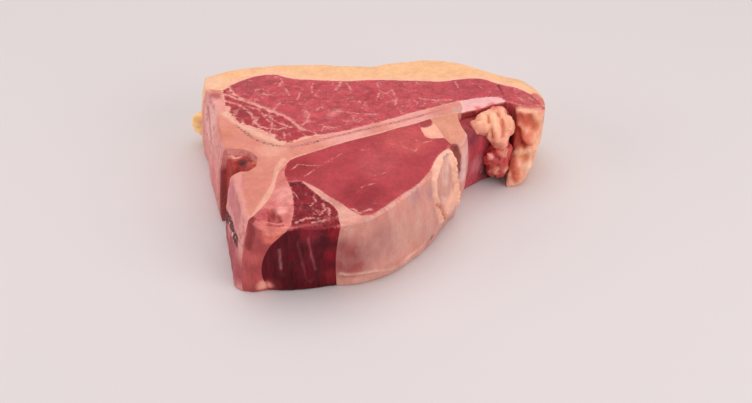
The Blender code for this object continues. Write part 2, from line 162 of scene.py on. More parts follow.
def fine_rings(rings, free):
    """The rings and the free share at fine columns: smooth curves, broken at the corners."""
    plan = rings[-2][:, :2]
    back, ahead = unit(plan - np.roll(plan, 1, axis=0)), unit(np.roll(plan, -1, axis=0) - plan)
    corner = (back * ahead).sum(axis=1) < math.cos(math.radians(CORNER_ANGLE))
    count = len(plan)
    parts, shares = [], []
    for index in range(count):
        after = (index + 1) % count
        start, end = rings[:, index], rings[:, after]
        span = end - start
        length = np.linalg.norm(span, axis=1, keepdims=True)
        slopes = []
        for place in (index, after):
            if corner[place]:
                slopes.append(span / np.maximum(length, 1e-9))
                continue
            coming = rings[:, place] - rings[:, place - 1]
            going = rings[:, (place + 1) % count] - rings[:, place]
            long_in = np.linalg.norm(coming, axis=1, keepdims=True) + 1e-9
            long_out = np.linalg.norm(going, axis=1, keepdims=True) + 1e-9
            mean = coming / long_in * long_out + going / long_out * long_in
            slopes.append(mean / (long_in + long_out))
        steps = max(1, round(float(length[len(rings) // 2, 0]) / COLUMN_STEP))
        for step in range(steps):
            part = step / steps
            squared, cubed = part ** 2, part ** 3
            parts.append((2 * cubed - 3 * squared + 1) * start + (3 * squared - 2 * cubed) * end
                         + length * ((cubed - 2 * squared + part) * slopes[0]
                                     + (cubed - squared) * slopes[1]))
            shares.append((1 - part) * free[:, index] + part * free[:, after])
    return np.stack(parts, axis=1), np.stack(shares, axis=1)


def outward(ring):
    """Unit normals of a counterclockwise ring, in plan."""
    along = unit(np.roll(ring, -1, axis=0)[:, :2] - np.roll(ring, 1, axis=0)[:, :2])
    return np.stack([along[:, 1], -along[:, 0], np.zeros(len(ring))], axis=1)


def between_levels(values, place):
    """Smooth interpolation between the levels of an array, place counting levels from 1."""
    last = len(values) - 2
    low = min(int(place), last - 1)
    part = place - low
    before, after = max(low - 1, 1), min(low + 2, last)
    start, end = values[low], values[low + 1]
    slope_in = (end - values[before]) / (low + 1 - before)
    slope_out = (values[after] - start) / (after - low)
    squared, cubed = part ** 2, part ** 3
    return ((2 * cubed - 3 * squared + 1) * start + (3 * squared - 2 * cubed) * end
            + (cubed - 2 * squared + part) * slope_in + (cubed - squared) * slope_out)


# ---------------------------------------------------------------- relief of the cut face

def common_relief(points):
    """Unevenness that all pieces share, so that their cut faces stay level at the seams."""
    flat = points * np.array([1.0, 1.0, 0.0])
    return 0.34 * rough(flat, 19.0, 3.0) + 0.10 * rough(flat, 5.0, 7.0)


def inside(points, ring):
    crossing = np.zeros(len(points), bool)
    for start, end in zip(ring, np.roll(ring, -1, axis=0)):
        if start[1] == end[1]:
            continue
        between = (points[:, 1] < start[1]) != (points[:, 1] < end[1])
        at = start[0] + (points[:, 1] - start[1]) * (end[0] - start[0]) / (end[1] - start[1])
        crossing ^= between & (points[:, 0] < at)
    return crossing


def nearest_distance(points, targets):
    if len(targets) == 0:
        return np.full(len(points), 99.0)
    best = np.empty(len(points))
    for start in range(0, len(points), 2000):
        block = points[start:start + 2000, None, :2] - targets[None, :, :2]
        best[start:start + 2000] = np.sqrt((block ** 2).sum(axis=2).min(axis=1))
    return best


def lattice(ring, step):
    """Points in a triangular pattern inside a ring, clear of its edge."""
    low, high = ring[:, :2].min(axis=0), ring[:, :2].max(axis=0)
    rows = np.arange(low[1], high[1], step * math.sqrt(3) / 2)
    across = np.arange(low[0], high[0], step)
    grid = [(x + (row % 2) * step / 2, y) for row, y in enumerate(rows) for x in across]
    grid = np.array(grid)
    grid = grid[inside(grid, ring[:, :2])]
    return grid[nearest_distance(grid, ring) > 0.45 * step]


def triangles(ring, interior):
    """Triangles over a ring and its interior points, numbered ring first."""
    places = [Vector(spot[:2]) for spot in ring] + [Vector(spot[:2]) for spot in interior]
    count = len(ring)
    edges = [(index, (index + 1) % count) for index in range(count)]
    _, _, faces, origins, _, _ = delaunay_2d_cdt(places, edges, [list(range(count))], 1, 1e-6)
    number = [origin[0] if origin else None for origin in origins]
    made = []
    for face in faces:
        corners = [number[corner] for corner in face]
        if None not in corners and len(set(corners)) == len(corners):
            made.append(corners)
    return made


# ---------------------------------------------------------------- shapes of each piece

# height of the cut face above its seams, and the size and depth of its unevenness, in mm
FACE_FORM = {
    "fat_cap": (0.25, 6.0, 0.16), "strip_loin": (0.5, 2.6, 0.16), "inner_loin": (0.8, 2.4, 0.22),
    "t_bone": (0.0, 1.6, 0.09), "canal_lining": (0.5, 3.2, 1.5), "bone_sinew": (0.7, 3.0, 0.35),
    "gristle_tip": (0.9, 5.0, 0.12), "fillet": (0.7, 3.2, 0.14), "side_muscle": (0.6, 2.4, 0.3),
    "fillet_fat": (0.25, 2.6, 0.22), "seam_fat": (0.6, 4.0, 0.15), "channel_fat": (0.4, 5.0, 0.15),
    "tail_flap": (0.4, 3.0, 0.4),
}
# the size and depth of the unevenness of each free wall
WALL_FORM = {
    "fat_cap": (9.0, 0.55), "strip_loin": (4.0, 0.4), "inner_loin": (3.0, 0.1),
    "t_bone": (5.0, 0.35), "canal_lining": (2.6, 0.7), "bone_sinew": (6.0, 0.45),
    "gristle_tip": (5.0, 0.2), "fillet": (5.0, 0.4), "side_muscle": (7.0, 0.5),
    "fillet_fat": (8.0, 0.5), "seam_fat": (4.0, 0.2), "channel_fat": (6.0, 0.4),
    "tail_flap": (5.0, 0.6), "flank_meat": (6.0, 0.4), "fat_lump": (2.6, 0.45),
    "trim_lump": (3.4, 1.5), "fat_scrap": (3.0, 0.3),
}

# ridges and hollows: (line, half width, height), all in mm
MOUTH = ((-47.6, -81.6, 45.0), (-44.4, -83.2, 45.0), (-40.4, -82.8, 45.0))
DENT_LEFT = ((-46.6, -70.6, 45.0), (-46.4, -77.8, 45.0))
DENT_RIGHT = ((-46.6, -70.6, 45.0), (-42.4, -78.4, 45.0))
GASH = ((-76.2, -33.0, 12.0), (-74.0, -40.6, 18.6), (-70.5, -53.3, 22.6), (-67.2, -65.7, 24.0),
        (-65.8, -71.6, 25.5))
LOIN_CUT = ((79.6, 55.6, 45.0), (81.0, 49.2, 45.0), (82.3, 42.8, 45.0))
FLAP_LEFT = ((44.0, -14.5, 45.0), (40.6, -27.0, 44.6), (37.4, -38.0, 42.0), (38.0, -40.6, 33.5),
             (39.8, -40.0, 24.0), (42.0, -36.9, 13.0))
FLAP_FILM = ((46.4, -18.0, 45.0), (45.0, -24.5, 42.0), (45.0, -28.0, 37.0), (44.4, -32.0, 30.5),
             (45.0, -32.0, 25.0))
FLAP_RIGHT = ((48.2, -16.8, 44.4), (49.6, -19.4, 39.0), (50.0, -21.9, 31.0), (51.8, -20.4, 22.0),
              (52.4, -18.8, 12.0))
FLAP_FOLD = ((39.0, -41.0, 27.0), (42.5, -36.8, 20.6), (44.6, -31.6, 12.0), (46.0, -28.0, 5.6))
FRONT_DARK = ((-57.0, -77.4, 45.0), (-56.4, -81.8, 40.0), (-58.4, -82.0, 32.0))
CREASE = ((-9.4, -82.2, 42.0), (-3.9, -80.8, 40.4), (2.1, -78.4, 38.4))
LOW_LINE = ((-12.0, -78.6, 9.6), (-0.7, -77.6, 9.4), (6.3, -74.4, 8.4), (14.3, -68.6, 4.6),
            (23.4, -60.0, 5.2), (32.7, -50.0, 7.4))
SLIT = ((48.0, -9.0, 45.5), (51.2, -7.4, 41.0), (51.8, -9.6, 30.0), (51.0, -9.0, 16.0),
        (50.6, -6.0, 4.0))
FACE_SCULPT = {
    "bone_sinew": [(DENT_LEFT, 1.7, -2.4), (DENT_RIGHT, 1.7, -2.4), (MOUTH, 0.8, -1.7),
                   (((-51.2, -72.5, 45.0), (-49.7, -75.6, 45.0), (-52.7, -77.7, 45.0)), 1.0, -0.8),
                   (((-48.0, -84.6, 45.0), (-40.0, -84.2, 45.0)), 1.0, 0.7)],
    "strip_loin": [(LOIN_CUT, 0.45, -0.7)],
    "t_bone": [(((-89.0, 40.6, 45.0), (-88.6, 40.4, 45.0)), 3.2, -0.5)],
}
RIB_LEFT = ((67.7, 20.5, 45.0), (69.2, 14.0, 42.0), (71.4, 10.4, 35.0))
RIB_RIGHT = ((73.8, 22.0, 45.4), (75.2, 14.4, 42.6), (76.4, 9.4, 35.4))
RED_POCKET = ((88.0, 21.0, 33.5), (89.0, 18.6, 28.6), (91.6, 16.8, 26.6))
PEACH_RIDGE = ((86.6, 18.0, 19.8), (89.0, 16.4, 22.4), (91.3, 16.0, 24.0), (95.4, 15.9, 24.4),
               (99.6, 18.0, 23.6))
RUFFLE = ((80.0, 25.0, 45.4), (83.6, 20.0, 43.6), (84.6, 15.4, 40.4), (82.6, 11.4, 36.4),
          (79.6, 9.8, 32.6))
WALL_SCULPT = {
    "t_bone": [(((-76.6, -33.0, 14.0), (-75.6, -36.4, 24.0)), 4.0, 0.5), (GASH, 2.6, -0.5)],
    "fillet_fat": [(FLAP_LEFT, 1.6, 2.5), (FLAP_FILM, 2.4, -3.8), (FLAP_RIGHT, 1.3, 2.0),
                   (FLAP_FOLD, 1.3, -2.4), (CREASE, 0.7, -0.6), (LOW_LINE, 1.0, 0.7),
                   (SLIT, 2.4, -2.2)],
    "channel_fat": [(SLIT, 2.4, -2.2)],
    "side_muscle": [(((-42.4, -84.0, 34.0), (-42.6, -83.0, 14.0)), 1.1, 0.5),
                    (((-30.8, -85.0, 39.0), (-27.8, -81.0, 8.0)), 1.3, 0.6),
                    (((-36.0, -85.0, 40.0), (-35.0, -82.0, 6.0)), 2.2, -0.5),
                    (((-21.0, -84.0, 38.0), (-21.5, -80.0, 8.0)), 2.0, -0.5)],
    "fat_lump": [(RIB_LEFT, 1.7, 1.5), (RIB_RIGHT, 1.9, 1.6), (RUFFLE, 1.5, 1.7),
                 (((64.6, 19.6, 45.0), (65.8, 13.6, 41.0)), 1.0, -1.4),
                 (((70.9, 21.0, 45.6), (72.2, 14.6, 43.0), (73.8, 9.8, 36.0)), 0.9, -1.3),
                 (((77.0, 24.0, 46.0), (79.4, 16.4, 43.4), (79.6, 11.0, 37.0)), 1.3, -1.7)],
    "tail_flap": [(RED_POCKET, 2.4, -4.4), (PEACH_RIDGE, 1.4, 2.6),
                  (((101.8, 21.5, 33.0), (99.5, 18.5, 17.0)), 1.6, -1.2),
                  (((90.6, 24.6, 41.5), (91.4, 22.6, 37.6)), 2.0, -1.6),
                  (((86.0, 12.6, 10.0), (92.0, 13.0, 9.0), (98.0, 15.0, 11.4)), 1.2, -0.9)],
}
# rounded knobs on the loose fat: (centre, radius, height)
KNOBS = {
    "tail_flap": [((95.4, 22.6, 38.6), 5.8, -2.2), ((100.4, 22.8, 41.2), 3.4, 1.4),
                  ((94.6, 19.4, 35.0), 2.2, 1.5), ((95.8, 18.0, 30.6), 4.6, 3.2),
                  ((93.4, 14.2, 18.8), 3.8, -2.8), ((87.6, 14.0, 13.6), 4.4, 1.4),
                  ((90.4, 12.4, 9.0), 3.4, 1.2), ((96.4, 15.0, 12.4), 3.6, 1.5), ((102.0, 21.0, 18.0), 7.0, -1.5),
                  ((85.6, 12.4, 3.6), 3.4, 1.0), ((101.0, 20.0, 26.0), 4.0, 1.0)],
    "fat_lump": [((72.0, 28.0, 42.0), 5.0, 2.2), ((79.0, 28.5, 42.5), 5.0, 2.4),
                 ((62.6, 17.2, 41.5), 2.4, 0.9), ((64.0, 12.6, 38.6), 2.2, 0.8),
                 ((61.2, 19.6, 42.6), 1.3, -0.8), ((76.4, 10.4, 30.6), 2.2, 0.8)],
    "trim_lump": [((73.6, 11.2, 22.8), 2.3, 1.6), ((80.8, 11.6, 25.0), 2.8, 1.4),
                  ((82.0, 12.6, 13.0), 3.0, 1.6), ((73.2, 12.6, 11.6), 2.6, 1.3),
                  ((78.0, 10.8, 18.0), 2.0, -1.4), ((77.0, 12.0, 8.4), 2.2, -1.2),
                  ((79.6, 11.0, 21.0), 1.8, 1.2), ((75.6, 11.4, 15.4), 2.0, 1.2)],
    "gristle_tip": [((64.6, 27.5, 43.6), 2.4, 0.5)],
}


def sculpt(name, points, grooves):
    """How far each point of a piece moves outward, from its ridges, knobs and frills."""
    move = np.zeros(len(points))
    wander = points + 0.5 * np.stack([rough(points, 3.0, seed) for seed in (11.0, 23.0, 37.0)], axis=1)
    for line, width, height in grooves.get(name, ()):
        move += height * np.exp(-(line_distance(wander, line) / width) ** 2)
    for centre, radius, height in KNOBS.get(name, ()):
        move += height * np.clip(1.0 - (spot_distance(wander, centre) / radius) ** 2, 0.0, None)
    for line, width, size, height in FRILLS.get(name, ()):
        near = np.exp(-(line_distance(points, line) / width) ** 2)
        move += height * near * rough(points, size, 51.0, 2)
    return move


# crumbly edges: (line, half width, size of the crumbs, height)
FRILLS = {
    "fillet_fat": [(FLAP_RIGHT, 2.6, 1.8, 1.5), (FLAP_FOLD, 3.0, 2.0, 1.6)],
    "tail_flap": [(PEACH_RIDGE, 2.0, 1.6, 1.0),
                  (((88.0, 13.4, 4.0), (90.0, 13.0, 14.0)), 5.0, 2.6, 0.9),
                  (((93.0, 18.8, 35.0), (97.0, 18.4, 31.0)), 3.6, 2.0, 0.6)],
    "t_bone": [(GASH, 3.0, 1.5, 0.9)],
    "bone_sinew": [(((-52.0, -84.0, 30.0), (-52.0, -82.0, 6.0)), 4.0, 2.6, 0.8)],
}

OTHERS = {}


def free_share(name, points):
    """0 where a point of the piece lies against a neighbour, 1 where its wall is open."""
    if not OTHERS:
        for other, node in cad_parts.items():
            mesh = node.data
            OTHERS[other] = BVHTree.FromPolygons([vert.co / MM for vert in mesh.vertices],
                                                 [face.vertices[:] for face in mesh.polygons])
    shape = points.shape[:-1]
    nearest = []
    for spot in points.reshape(-1, 3):
        found = [tree.find_nearest(Vector(spot), FREE_TO + 1.0)[3]
                 for other, tree in OTHERS.items() if other != name]
        found = [distance for distance in found if distance is not None]
        nearest.append(min(found) if found else FREE_TO + 1.0)
    return smooth(np.array(nearest).reshape(shape), FREE_FROM, FREE_TO)


def slab(name):
    """One slab piece's points and faces, with what its painting needs: where each point was
    before it was sculpted, and its shares."""
    rings = level_rings(name)
    rings, free = fine_rings(rings, free_share(name, rings))
    rings = rings + SWELL * np.stack([outward(ring) for ring in rings])
    columns = rings.shape[1]
    top = len(rings) - 1
    dome, grain_size, grain_depth = FACE_FORM[name]
    order = np.argsort(rings[top][:, 1])
    base_y, base_z = rings[top][order, 1], rings[top][order, 2]

    # the two caps: the ring's own columns first, then the points inside it
    crown = rings[top].copy()
    crown[:, 2] += common_relief(crown) - SEAM_DIP
    spots = lattice(crown, LATTICE_STEP)
    face = np.column_stack([spots, np.interp(spots[:, 1], base_y, base_z)])
    closed = crown[free[top] < 0.5]
    seam = nearest_distance(face, closed)
    border = nearest_distance(face, crown)
    rise = dome * (1.0 - np.exp(-border / 3.0)) * (1.0 - 0.6 * np.exp(-border / 12.0))
    grain = grain_depth * rough(face, grain_size, 5.0, 3) * smooth(border, 0.0, 2.0)
    hollow = sculpt(name, face, FACE_SCULPT) * smooth(border, 0.0, 1.0)
    face[:, 2] += common_relief(face) + rise + grain + hollow
    floor_spots = lattice(rings[0], 4.0)
    floor_face = np.column_stack([floor_spots, np.zeros(len(floor_spots))])

    # the wall, level by level
    levels, shares = [], []
    for step in range(LOW_RIM_STEPS):
        angle = math.pi / 2 * (1.0 - step / LOW_RIM_STEPS)
        ring = rings[1] + (rings[0] - rings[1]) * (1.0 - math.cos(angle))
        ring[:, 2] = rings[1][:, 2] + (rings[0] - rings[1])[:, 2] * math.sin(angle)
        levels.append(ring)
        shares.append(free[0])
    for step in range(WALL_STEPS + 1):
        place = 1.0 + (top - 2.0) * step / WALL_STEPS
        levels.append(between_levels(rings, place))
        shares.append(between_levels(free, place))
    for step in range(1, TOP_RIM_STEPS + 1):
        angle = math.pi / 2 * step / TOP_RIM_STEPS
        ring = rings[top - 1] + (crown - rings[top - 1]) * (1.0 - math.cos(angle))
        ring[:, 2] = rings[top - 1][:, 2] + (crown - rings[top - 1])[:, 2] * math.sin(angle)
        levels.append(ring)
        shares.append(free[top])
    wall = np.concatenate(levels)
    rest = np.concatenate([wall, face, floor_face])
    share = np.clip(np.concatenate(shares), 0.0, 1.0)
    normals = np.concatenate([outward(ring) for ring in levels])
    size, depth = WALL_FORM[name]
    open_wall = share > 0.01
    move = np.zeros(len(wall))
    spots = wall[open_wall]
    move[open_wall] = (depth * rough(spots, size, 2.0, 3) + sculpt(name, spots, WALL_SCULPT))
    move *= share
    move[:columns] *= 0.3
    wall += normals * move[:, None]

    points = np.concatenate([wall, face, floor_face])
    last = columns * (len(levels) - 1)
    faces = []
    for level in range(len(levels) - 1):
        low, high = level * columns, (level + 1) * columns
        for column in range(columns):
            after = (column + 1) % columns
            faces.append((low + column, low + after, high + after, high + column))
    crown_number = list(range(last, last + columns)) + list(
        range(len(wall), len(wall) + len(face)))
    faces += [tuple(crown_number[corner] for corner in corners)
              for corners in triangles(crown, spots_of(face))]
    floor_number = list(range(columns)) + list(range(len(wall) + len(face), len(points)))
    faces += [tuple(floor_number[corner] for corner in reversed(corners))
              for corners in triangles(levels[0], floor_spots)]
    upper = smooth(wall[:, 2], rings[top - 1][:, 2].mean(), crown[:, 2].mean())
    on_face = np.concatenate([upper, np.ones(len(face)), np.zeros(len(floor_face))])
    wall_seam = np.where(share < 0.5, 0.0, 9.0)
    wall_seam[-columns:] = nearest_distance(crown, closed)
    seams = np.concatenate([wall_seam, seam, np.full(len(floor_face), 9.0)])
    lift = np.concatenate([move, grain + hollow, np.zeros(len(floor_face))])
    return points, rest, faces, on_face, seams, lift


def spots_of(face):
    return face[:, :2]


def loose(name):
    """A loose piece's points and faces: the solid remeshed, sculpted and roughened."""
    mesh = welded(name)
    data = bpy.data.meshes.new(name + "_rough")
    mesh.to_mesh(data)
    mesh.free()
    rough_piece = bpy.data.objects.new(name + "_rough", data)
    bpy.context.scene.collection.objects.link(rough_piece)
    remesh = rough_piece.modifiers.new("remesh", "REMESH")
    remesh.mode = "VOXEL"
    remesh.voxel_size = LOOSE_VOXEL * MM
    relax = rough_piece.modifiers.new("relax", "SMOOTH")
    relax.factor = 0.5
    relax.iterations = 2
    bpy.context.view_layer.update()
    done = rough_piece.evaluated_get(bpy.context.evaluated_depsgraph_get()).to_mesh()
    points = np.array([vert.co[:] for vert in done.vertices]) / MM
    normals = np.array([vert.normal[:] for vert in done.vertices])
    faces = [tuple(face.vertices) for face in done.polygons]
    bpy.data.objects.remove(rough_piece)
    bpy.data.meshes.remove(data)
    size, depth = WALL_FORM[name]
    move = depth * rough(points, size, 4.0, 3) + sculpt(name, points, WALL_SCULPT)
    rest = points
    points = points + normals * (SWELL + move)[:, None]
    points[:, 2] = np.maximum(points[:, 2], 0.0)
    if name == "fat_scrap":
        # the scrap reaches in to the sawn end that it sticks to
        left = points[:, 0].min()
        points[:, 0] = left + (points[:, 0] - left) * SCRAP_REACH
    on_face = smooth(normals[:, 2], 0.4, 0.8)
    return points, rest, faces, on_face, np.full(len(points), 9.0), move


# ---------------------------------------------------------------- painting

FAT, FAT_WALL = (249, 200, 156), (240, 198, 150)
MEAT, MEAT_WALL = (197, 90, 96), (176, 72, 80)
CREAM = (240, 190, 165)

# for each piece: colour of the cut face and of the wall, and near its seams (colour, width,
# share); spots are (colour, centre, inner radius, outer radius), lines are (colour, line, inner
# distance, outer distance, share); hollow is painted shade in the low places: its colour, their depth, and share
PAINT = {
    "fat_cap": {
        "face": (241, 184, 138), "wall": (242, 186, 140), "seam": ((243, 180, 156), 3.6, 0.85),
        "spots": [((246, 192, 158), (-90.0, 58.0, 45.0), 3.0, 9.0),
                  ((240, 174, 126), (-88.0, 72.0, 45.0), 4.0, 12.0),
                  ((228, 182, 144), (100.0, 58.0, 44.0), 3.0, 8.0),
                  ((238, 170, 150), (104.6, 36.0, 40.0), 2.0, 8.0)],
        "lines": [((200, 96, 94), ((100.4, 42.6, 45.0), (103.0, 38.4, 45.0), (104.6, 33.0, 45.0)),
                   1.0, 3.2, 0.85)],
    },
    "strip_loin": {
        "face": (190, 72, 80), "wall": (186, 76, 82), "seam": None,
        "spots": [((184, 68, 78), (62.0, 52.0, 45.0), 8.0, 24.0),
                  ((196, 88, 86), (97.0, 38.0, 45.0), 2.0, 9.0),
                  ((190, 72, 80), (-22.0, 26.0, 45.0), 5.0, 18.0),
                  ((196, 84, 88), (-16.0, 22.0, 45.0), 2.0, 7.0),
                  ((196, 84, 88), (-33.0, 22.0, 45.0), 1.0, 7.0),
                  ((182, 60, 70), (4.0, 40.0, 45.0), 3.0, 12.0),
                  ((180, 70, 78), (-70.0, 55.0, 45.0), 6.0, 16.0)],
        "lines": [((130, 36, 46), LOIN_CUT, 0.3, 0.9, 0.85),
                  ((218, 128, 126), ((-19.6, 19.4, 45.0), (-15.6, 24.4, 45.0)), 0.2, 3.6, 0.7),
                  ((216, 124, 124), ((-33.4, 23.0, 45.0), (-32.4, 14.0, 45.0)), 0.1, 3.0, 0.45)],
    },
    "inner_loin": {
        "face": (178, 53, 64), "wall": (170, 70, 75), "seam": None,
        "spots": [((158, 52, 60), (-71.0, 22.5, 45.0), 3.0, 9.0),
                  ((176, 62, 68), (-47.0, 3.0, 45.0), 3.0, 9.0),
                  ((164, 54, 62), (-60.0, 17.0, 45.0), 2.0, 6.0)],
    },
    "t_bone": {
        "face": (217, 135, 118), "wall": (224, 146, 141), "seam": None,
        "spots": [((173, 82, 86), (-88.8, 40.6, 45.0), 2.6, 5.6),
                  ((230, 160, 140), (-50.0, -15.0, 45.0), 1.0, 12.0),
                  ((232, 158, 148), (-10.0, 1.0, 45.0), 6.0, 22.0),
                  ((234, 160, 150), (26.0, 17.0, 45.0), 6.0, 22.0),
                  ((214, 130, 108), (-80.0, 2.0, 45.0), 3.0, 9.0),
                  ((212, 129, 113), (-58.0, -52.0, 45.0), 9.0, 18.0),
                  ((222, 140, 122), (-84.0, 12.0, 45.0), 4.0, 12.0),
                  ((206, 146, 138), (53.5, 27.0, 45.0), 2.0, 5.0),
                  ((204, 119, 121), (-69.0, -48.0, 38.0), 6.0, 12.0),
                  ((202, 117, 119), (-64.6, -62.0, 36.0), 5.0, 10.0),
                  ((166, 64, 73), (-69.0, -62.0, 9.0), 9.0, 19.0),
                  ((169, 65, 74), (-77.0, -38.0, 6.0), 7.0, 16.0),
                  ((173, 78, 83), (-63.0, -74.0, 12.0), 6.0, 14.0),
                  ((216, 125, 123), (-88.0, 4.0, 8.0), 6.0, 20.0),
                  ((236, 172, 166), (-93.0, 30.0, 34.0), 8.0, 20.0)],
        "lines": [((238, 182, 161), ((-80.0, 22.4, 45.0), (-74.0, 15.6, 45.0), (-68.5, 9.6, 45.0),
                                     (-63.4, 4.4, 45.0), (-58.6, 0.0, 45.0), (-52.0, -4.6, 45.0),
                                     (-45.6, -7.4, 45.0)), 0.8, 4.2, 0.8),
                  ((238, 176, 154), ((-55.1, -72.5, 45.0), (-50.8, -60.8, 45.0), (-46.9, -46.1, 45.0),
                                     (-46.4, -30.8, 45.0), (-43.6, -24.0, 45.0)), 0.8, 2.2, 0.65),
                  # painted highlight: pale pink lip along the body's top-left edge
                  ((232, 160, 150), ((-67.6, -33.0, 45.0), (-66.8, -46.1, 44.6), (-63.4, -60.5, 44.4),
                                     (-60.0, -72.6, 43.9)), 1.0, 3.0, 0.6),
                  ((150, 104, 92), ((-73.0, 10.6, 45.0), (-69.0, 5.4, 45.0), (-60.7, -5.0, 45.0),
                                    (-50.3, -10.4, 45.0), (-39.1, -12.2, 45.0), (-28.3, -7.4, 45.0)),
                   0.1, 0.7, 0.5),
                  ((204, 122, 122), ((-40.0, -13.0, 45.0), (-13.0, 0.0, 45.0), (20.0, 13.6, 45.0),
                                     (47.0, 27.6, 45.0)), 0.5, 1.8, 0.75),
                  # painted shade: near-black band for the deep torn hollow along the gash; the groove itself stays
                  # shallow
                  ((24, 5, 9), GASH, 2.7, 4.3, 0.97),
                  ((186, 92, 92), ((-93.2, 41.0, 37.0), (-91.7, 33.0, 30.0), (-89.6, 22.0, 24.0)),
                   0.6, 2.4, 0.6),
                  ((176, 80, 74), ((-80.4, -14.1, 40.0), (-81.4, -15.3, 22.0), (-82.0, -16.6, 4.0)),
                   2.0, 6.0, 0.4),
                  ((142, 50, 50), ((-77.6, -15.0, 30.0), (-79.0, -18.6, 12.0), (-80.6, -20.0, 2.0)),
                   1.4, 4.0, 0.85),
                  ((150, 58, 54), ((-66.0, -27.0, 40.0), (-66.0, -27.0, 4.0)), 2.0, 9.0, 0.8)],
        # painted shade: the hollow colour darkens the low places
        "hollow": ((176, 84, 88), 0.7, 0.4),
    },
    "canal_lining": {
        "face": (186, 70, 62), "wall": (175, 59, 54), "seam": ((204, 106, 92), 1.0, 0.5),
        "spots": [((104, 34, 36), (-66.6, -20.0, 40.0), 1.5, 4.0),
                  ((214, 128, 112), (-75.4, -14.2, 41.0), 1.6, 3.6),
                  ((206, 118, 92), (-60.6, -19.4, 40.6), 1.4, 3.6)],
        "lines": [((230, 164, 146), ((-76.8, -12.1, 44.2), (-74.2, -13.0, 41.3), (-71.2, -16.0, 40.4),
                                     (-67.6, -15.4, 40.8)), 0.5, 1.5, 0.9)],
        # painted shade: the hollow colour darkens the low places
        "hollow": ((130, 46, 44), 0.6, 0.7),
    },
    "bone_sinew": {
        "face": (210, 112, 106), "wall": (175, 71, 73), "seam": ((228, 142, 130), 1.5, 0.4),
        "spots": [((196, 84, 88), (-50.5, -73.5, 45.0), 2.6, 7.0),
                  ((232, 150, 142), (-41.6, -70.0, 45.0), 2.0, 5.0),
                  ((226, 144, 136), (-39.0, -56.0, 45.0), 4.0, 12.0),
                  ((228, 114, 101), (-46.0, -84.8, 39.6), 3.0, 6.4),
                  ((190, 84, 84), (-57.0, -83.6, 24.0), 2.0, 8.0),
                  ((186, 80, 80), (-60.0, -81.0, 10.0), 3.0, 12.0),
                  ((230, 156, 136), (-53.0, -81.6, 4.6), 1.6, 4.4),
                  ((186, 78, 82), (-51.2, -72.5, 45.0), 0.6, 1.6),
                  ((186, 78, 82), (-52.7, -77.7, 45.0), 0.6, 1.8)],
        "lines": [((140, 36, 42), FRONT_DARK, 2.2, 3.4, 0.95),
                  ((124, 34, 40), DENT_LEFT, 1.3, 2.3, 0.95), ((124, 34, 40), DENT_RIGHT, 1.3, 2.3, 0.95),
                  ((120, 38, 40), MOUTH, 0.4, 1.0, 0.9),
                  ((240, 147, 129), ((-48.4, -85.4, 43.0), (-43.0, -85.4, 42.6), (-38.8, -84.6, 44.4)),
                   0.8, 2.4, 0.8),
                  ((222, 144, 134), ((-60.0, -75.6, 43.0), (-60.8, -79.4, 36.0), (-62.6, -80.4, 24.0)),
                   0.4, 1.4, 0.7)],
        # painted shade: the hollow colour darkens the low places
        "hollow": ((170, 72, 72), 1.2, 0.35),
    },
    "gristle_tip": {
        "face": (243, 178, 177), "wall": (170, 70, 70), "seam": ((246, 196, 192), 1.0, 0.6),
        "spots": [((224, 120, 116), (66.0, 28.0, 45.0), 1.0, 3.6),
                  ((214, 104, 104), (75.0, 31.0, 45.0), 1.0, 4.0)],
    },
    "fillet": {
        "face": (181, 59, 68), "wall": (176, 66, 72), "seam": None,
        "spots": [((160, 42, 50), (-36.0, -32.0, 45.0), 5.0, 16.0),
                  ((156, 40, 50), (0.0, -58.0, 45.0), 5.0, 18.0),
                  ((198, 78, 80), (24.0, -6.0, 45.0), 8.0, 20.0),
                  ((188, 72, 78), (8.0, -28.0, 45.0), 6.0, 18.0)],
    },
    "side_muscle": {
        "face": (131, 29, 40), "wall": (88, 10, 23), "seam": None,
        "spots": [((126, 30, 42), (-27.0, -85.0, 41.0), 3.0, 9.0),
                  ((138, 14, 29), (-13.0, -82.0, 24.0), 2.0, 9.0),
                  ((138, 16, 30), (-13.0, -82.0, 40.0), 2.0, 8.0),
                  ((126, 26, 32), (-15.0, -79.0, 8.0), 3.0, 9.0),
                  ((120, 34, 40), (-48.0, -81.0, 4.0), 2.0, 8.0),
                  ((206, 124, 112), (-50.0, -81.6, 4.6), 1.0, 3.6),
                  ((196, 120, 112), (-20.6, -59.6, 45.0), 0.6, 1.8)],
        # painted highlights: three pale streaks of sheen down the dark wall, on its shallow ridges
        "lines": [((190, 116, 118), ((-42.3, -83.8, 31.0), (-42.5, -82.8, 17.0)), 0.2, 1.1, 0.6),
                  ((166, 86, 92), ((-27.6, -84.8, 39.0), (-26.4, -83.6, 28.0), (-24.8, -81.0, 15.0)),
                   0.1, 0.9, 0.5),
                  ((156, 72, 78), ((-33.0, -84.8, 36.0), (-31.4, -83.4, 22.0), (-29.6, -81.6, 8.0)), 0.1, 0.7, 0.5),
                  # painted highlight: paler pink-red band along the top rim of the dark wall
                  ((178, 72, 74), ((-37.0, -84.0, 44.8), (-31.0, -82.6, 45.0), (-27.0, -82.0, 45.0),
                                     (-21.0, -81.6, 45.0)), 0.5, 1.6, 0.8)],
    },
    "fillet_fat": {
        "face": (208, 136, 122), "wall": (206, 135, 121), "seam": ((196, 110, 104), 0.8, 0.4),
        "spots": [((224, 154, 138), (-8.0, -73.0, 45.0), 5.0, 9.0),
                  ((222, 150, 138), (-23.0, -54.0, 45.0), 5.0, 12.0),
                  ((222, 150, 138), (-32.0, -46.0, 45.0), 4.0, 9.0),
                  ((160, 72, 69), (-8.0, -80.0, 22.0), 7.0, 20.0),
                  ((188, 124, 116), (10.0, -74.0, 26.0), 6.0, 16.0),
                  ((201, 138, 123), (24.0, -60.0, 24.0), 6.0, 16.0),
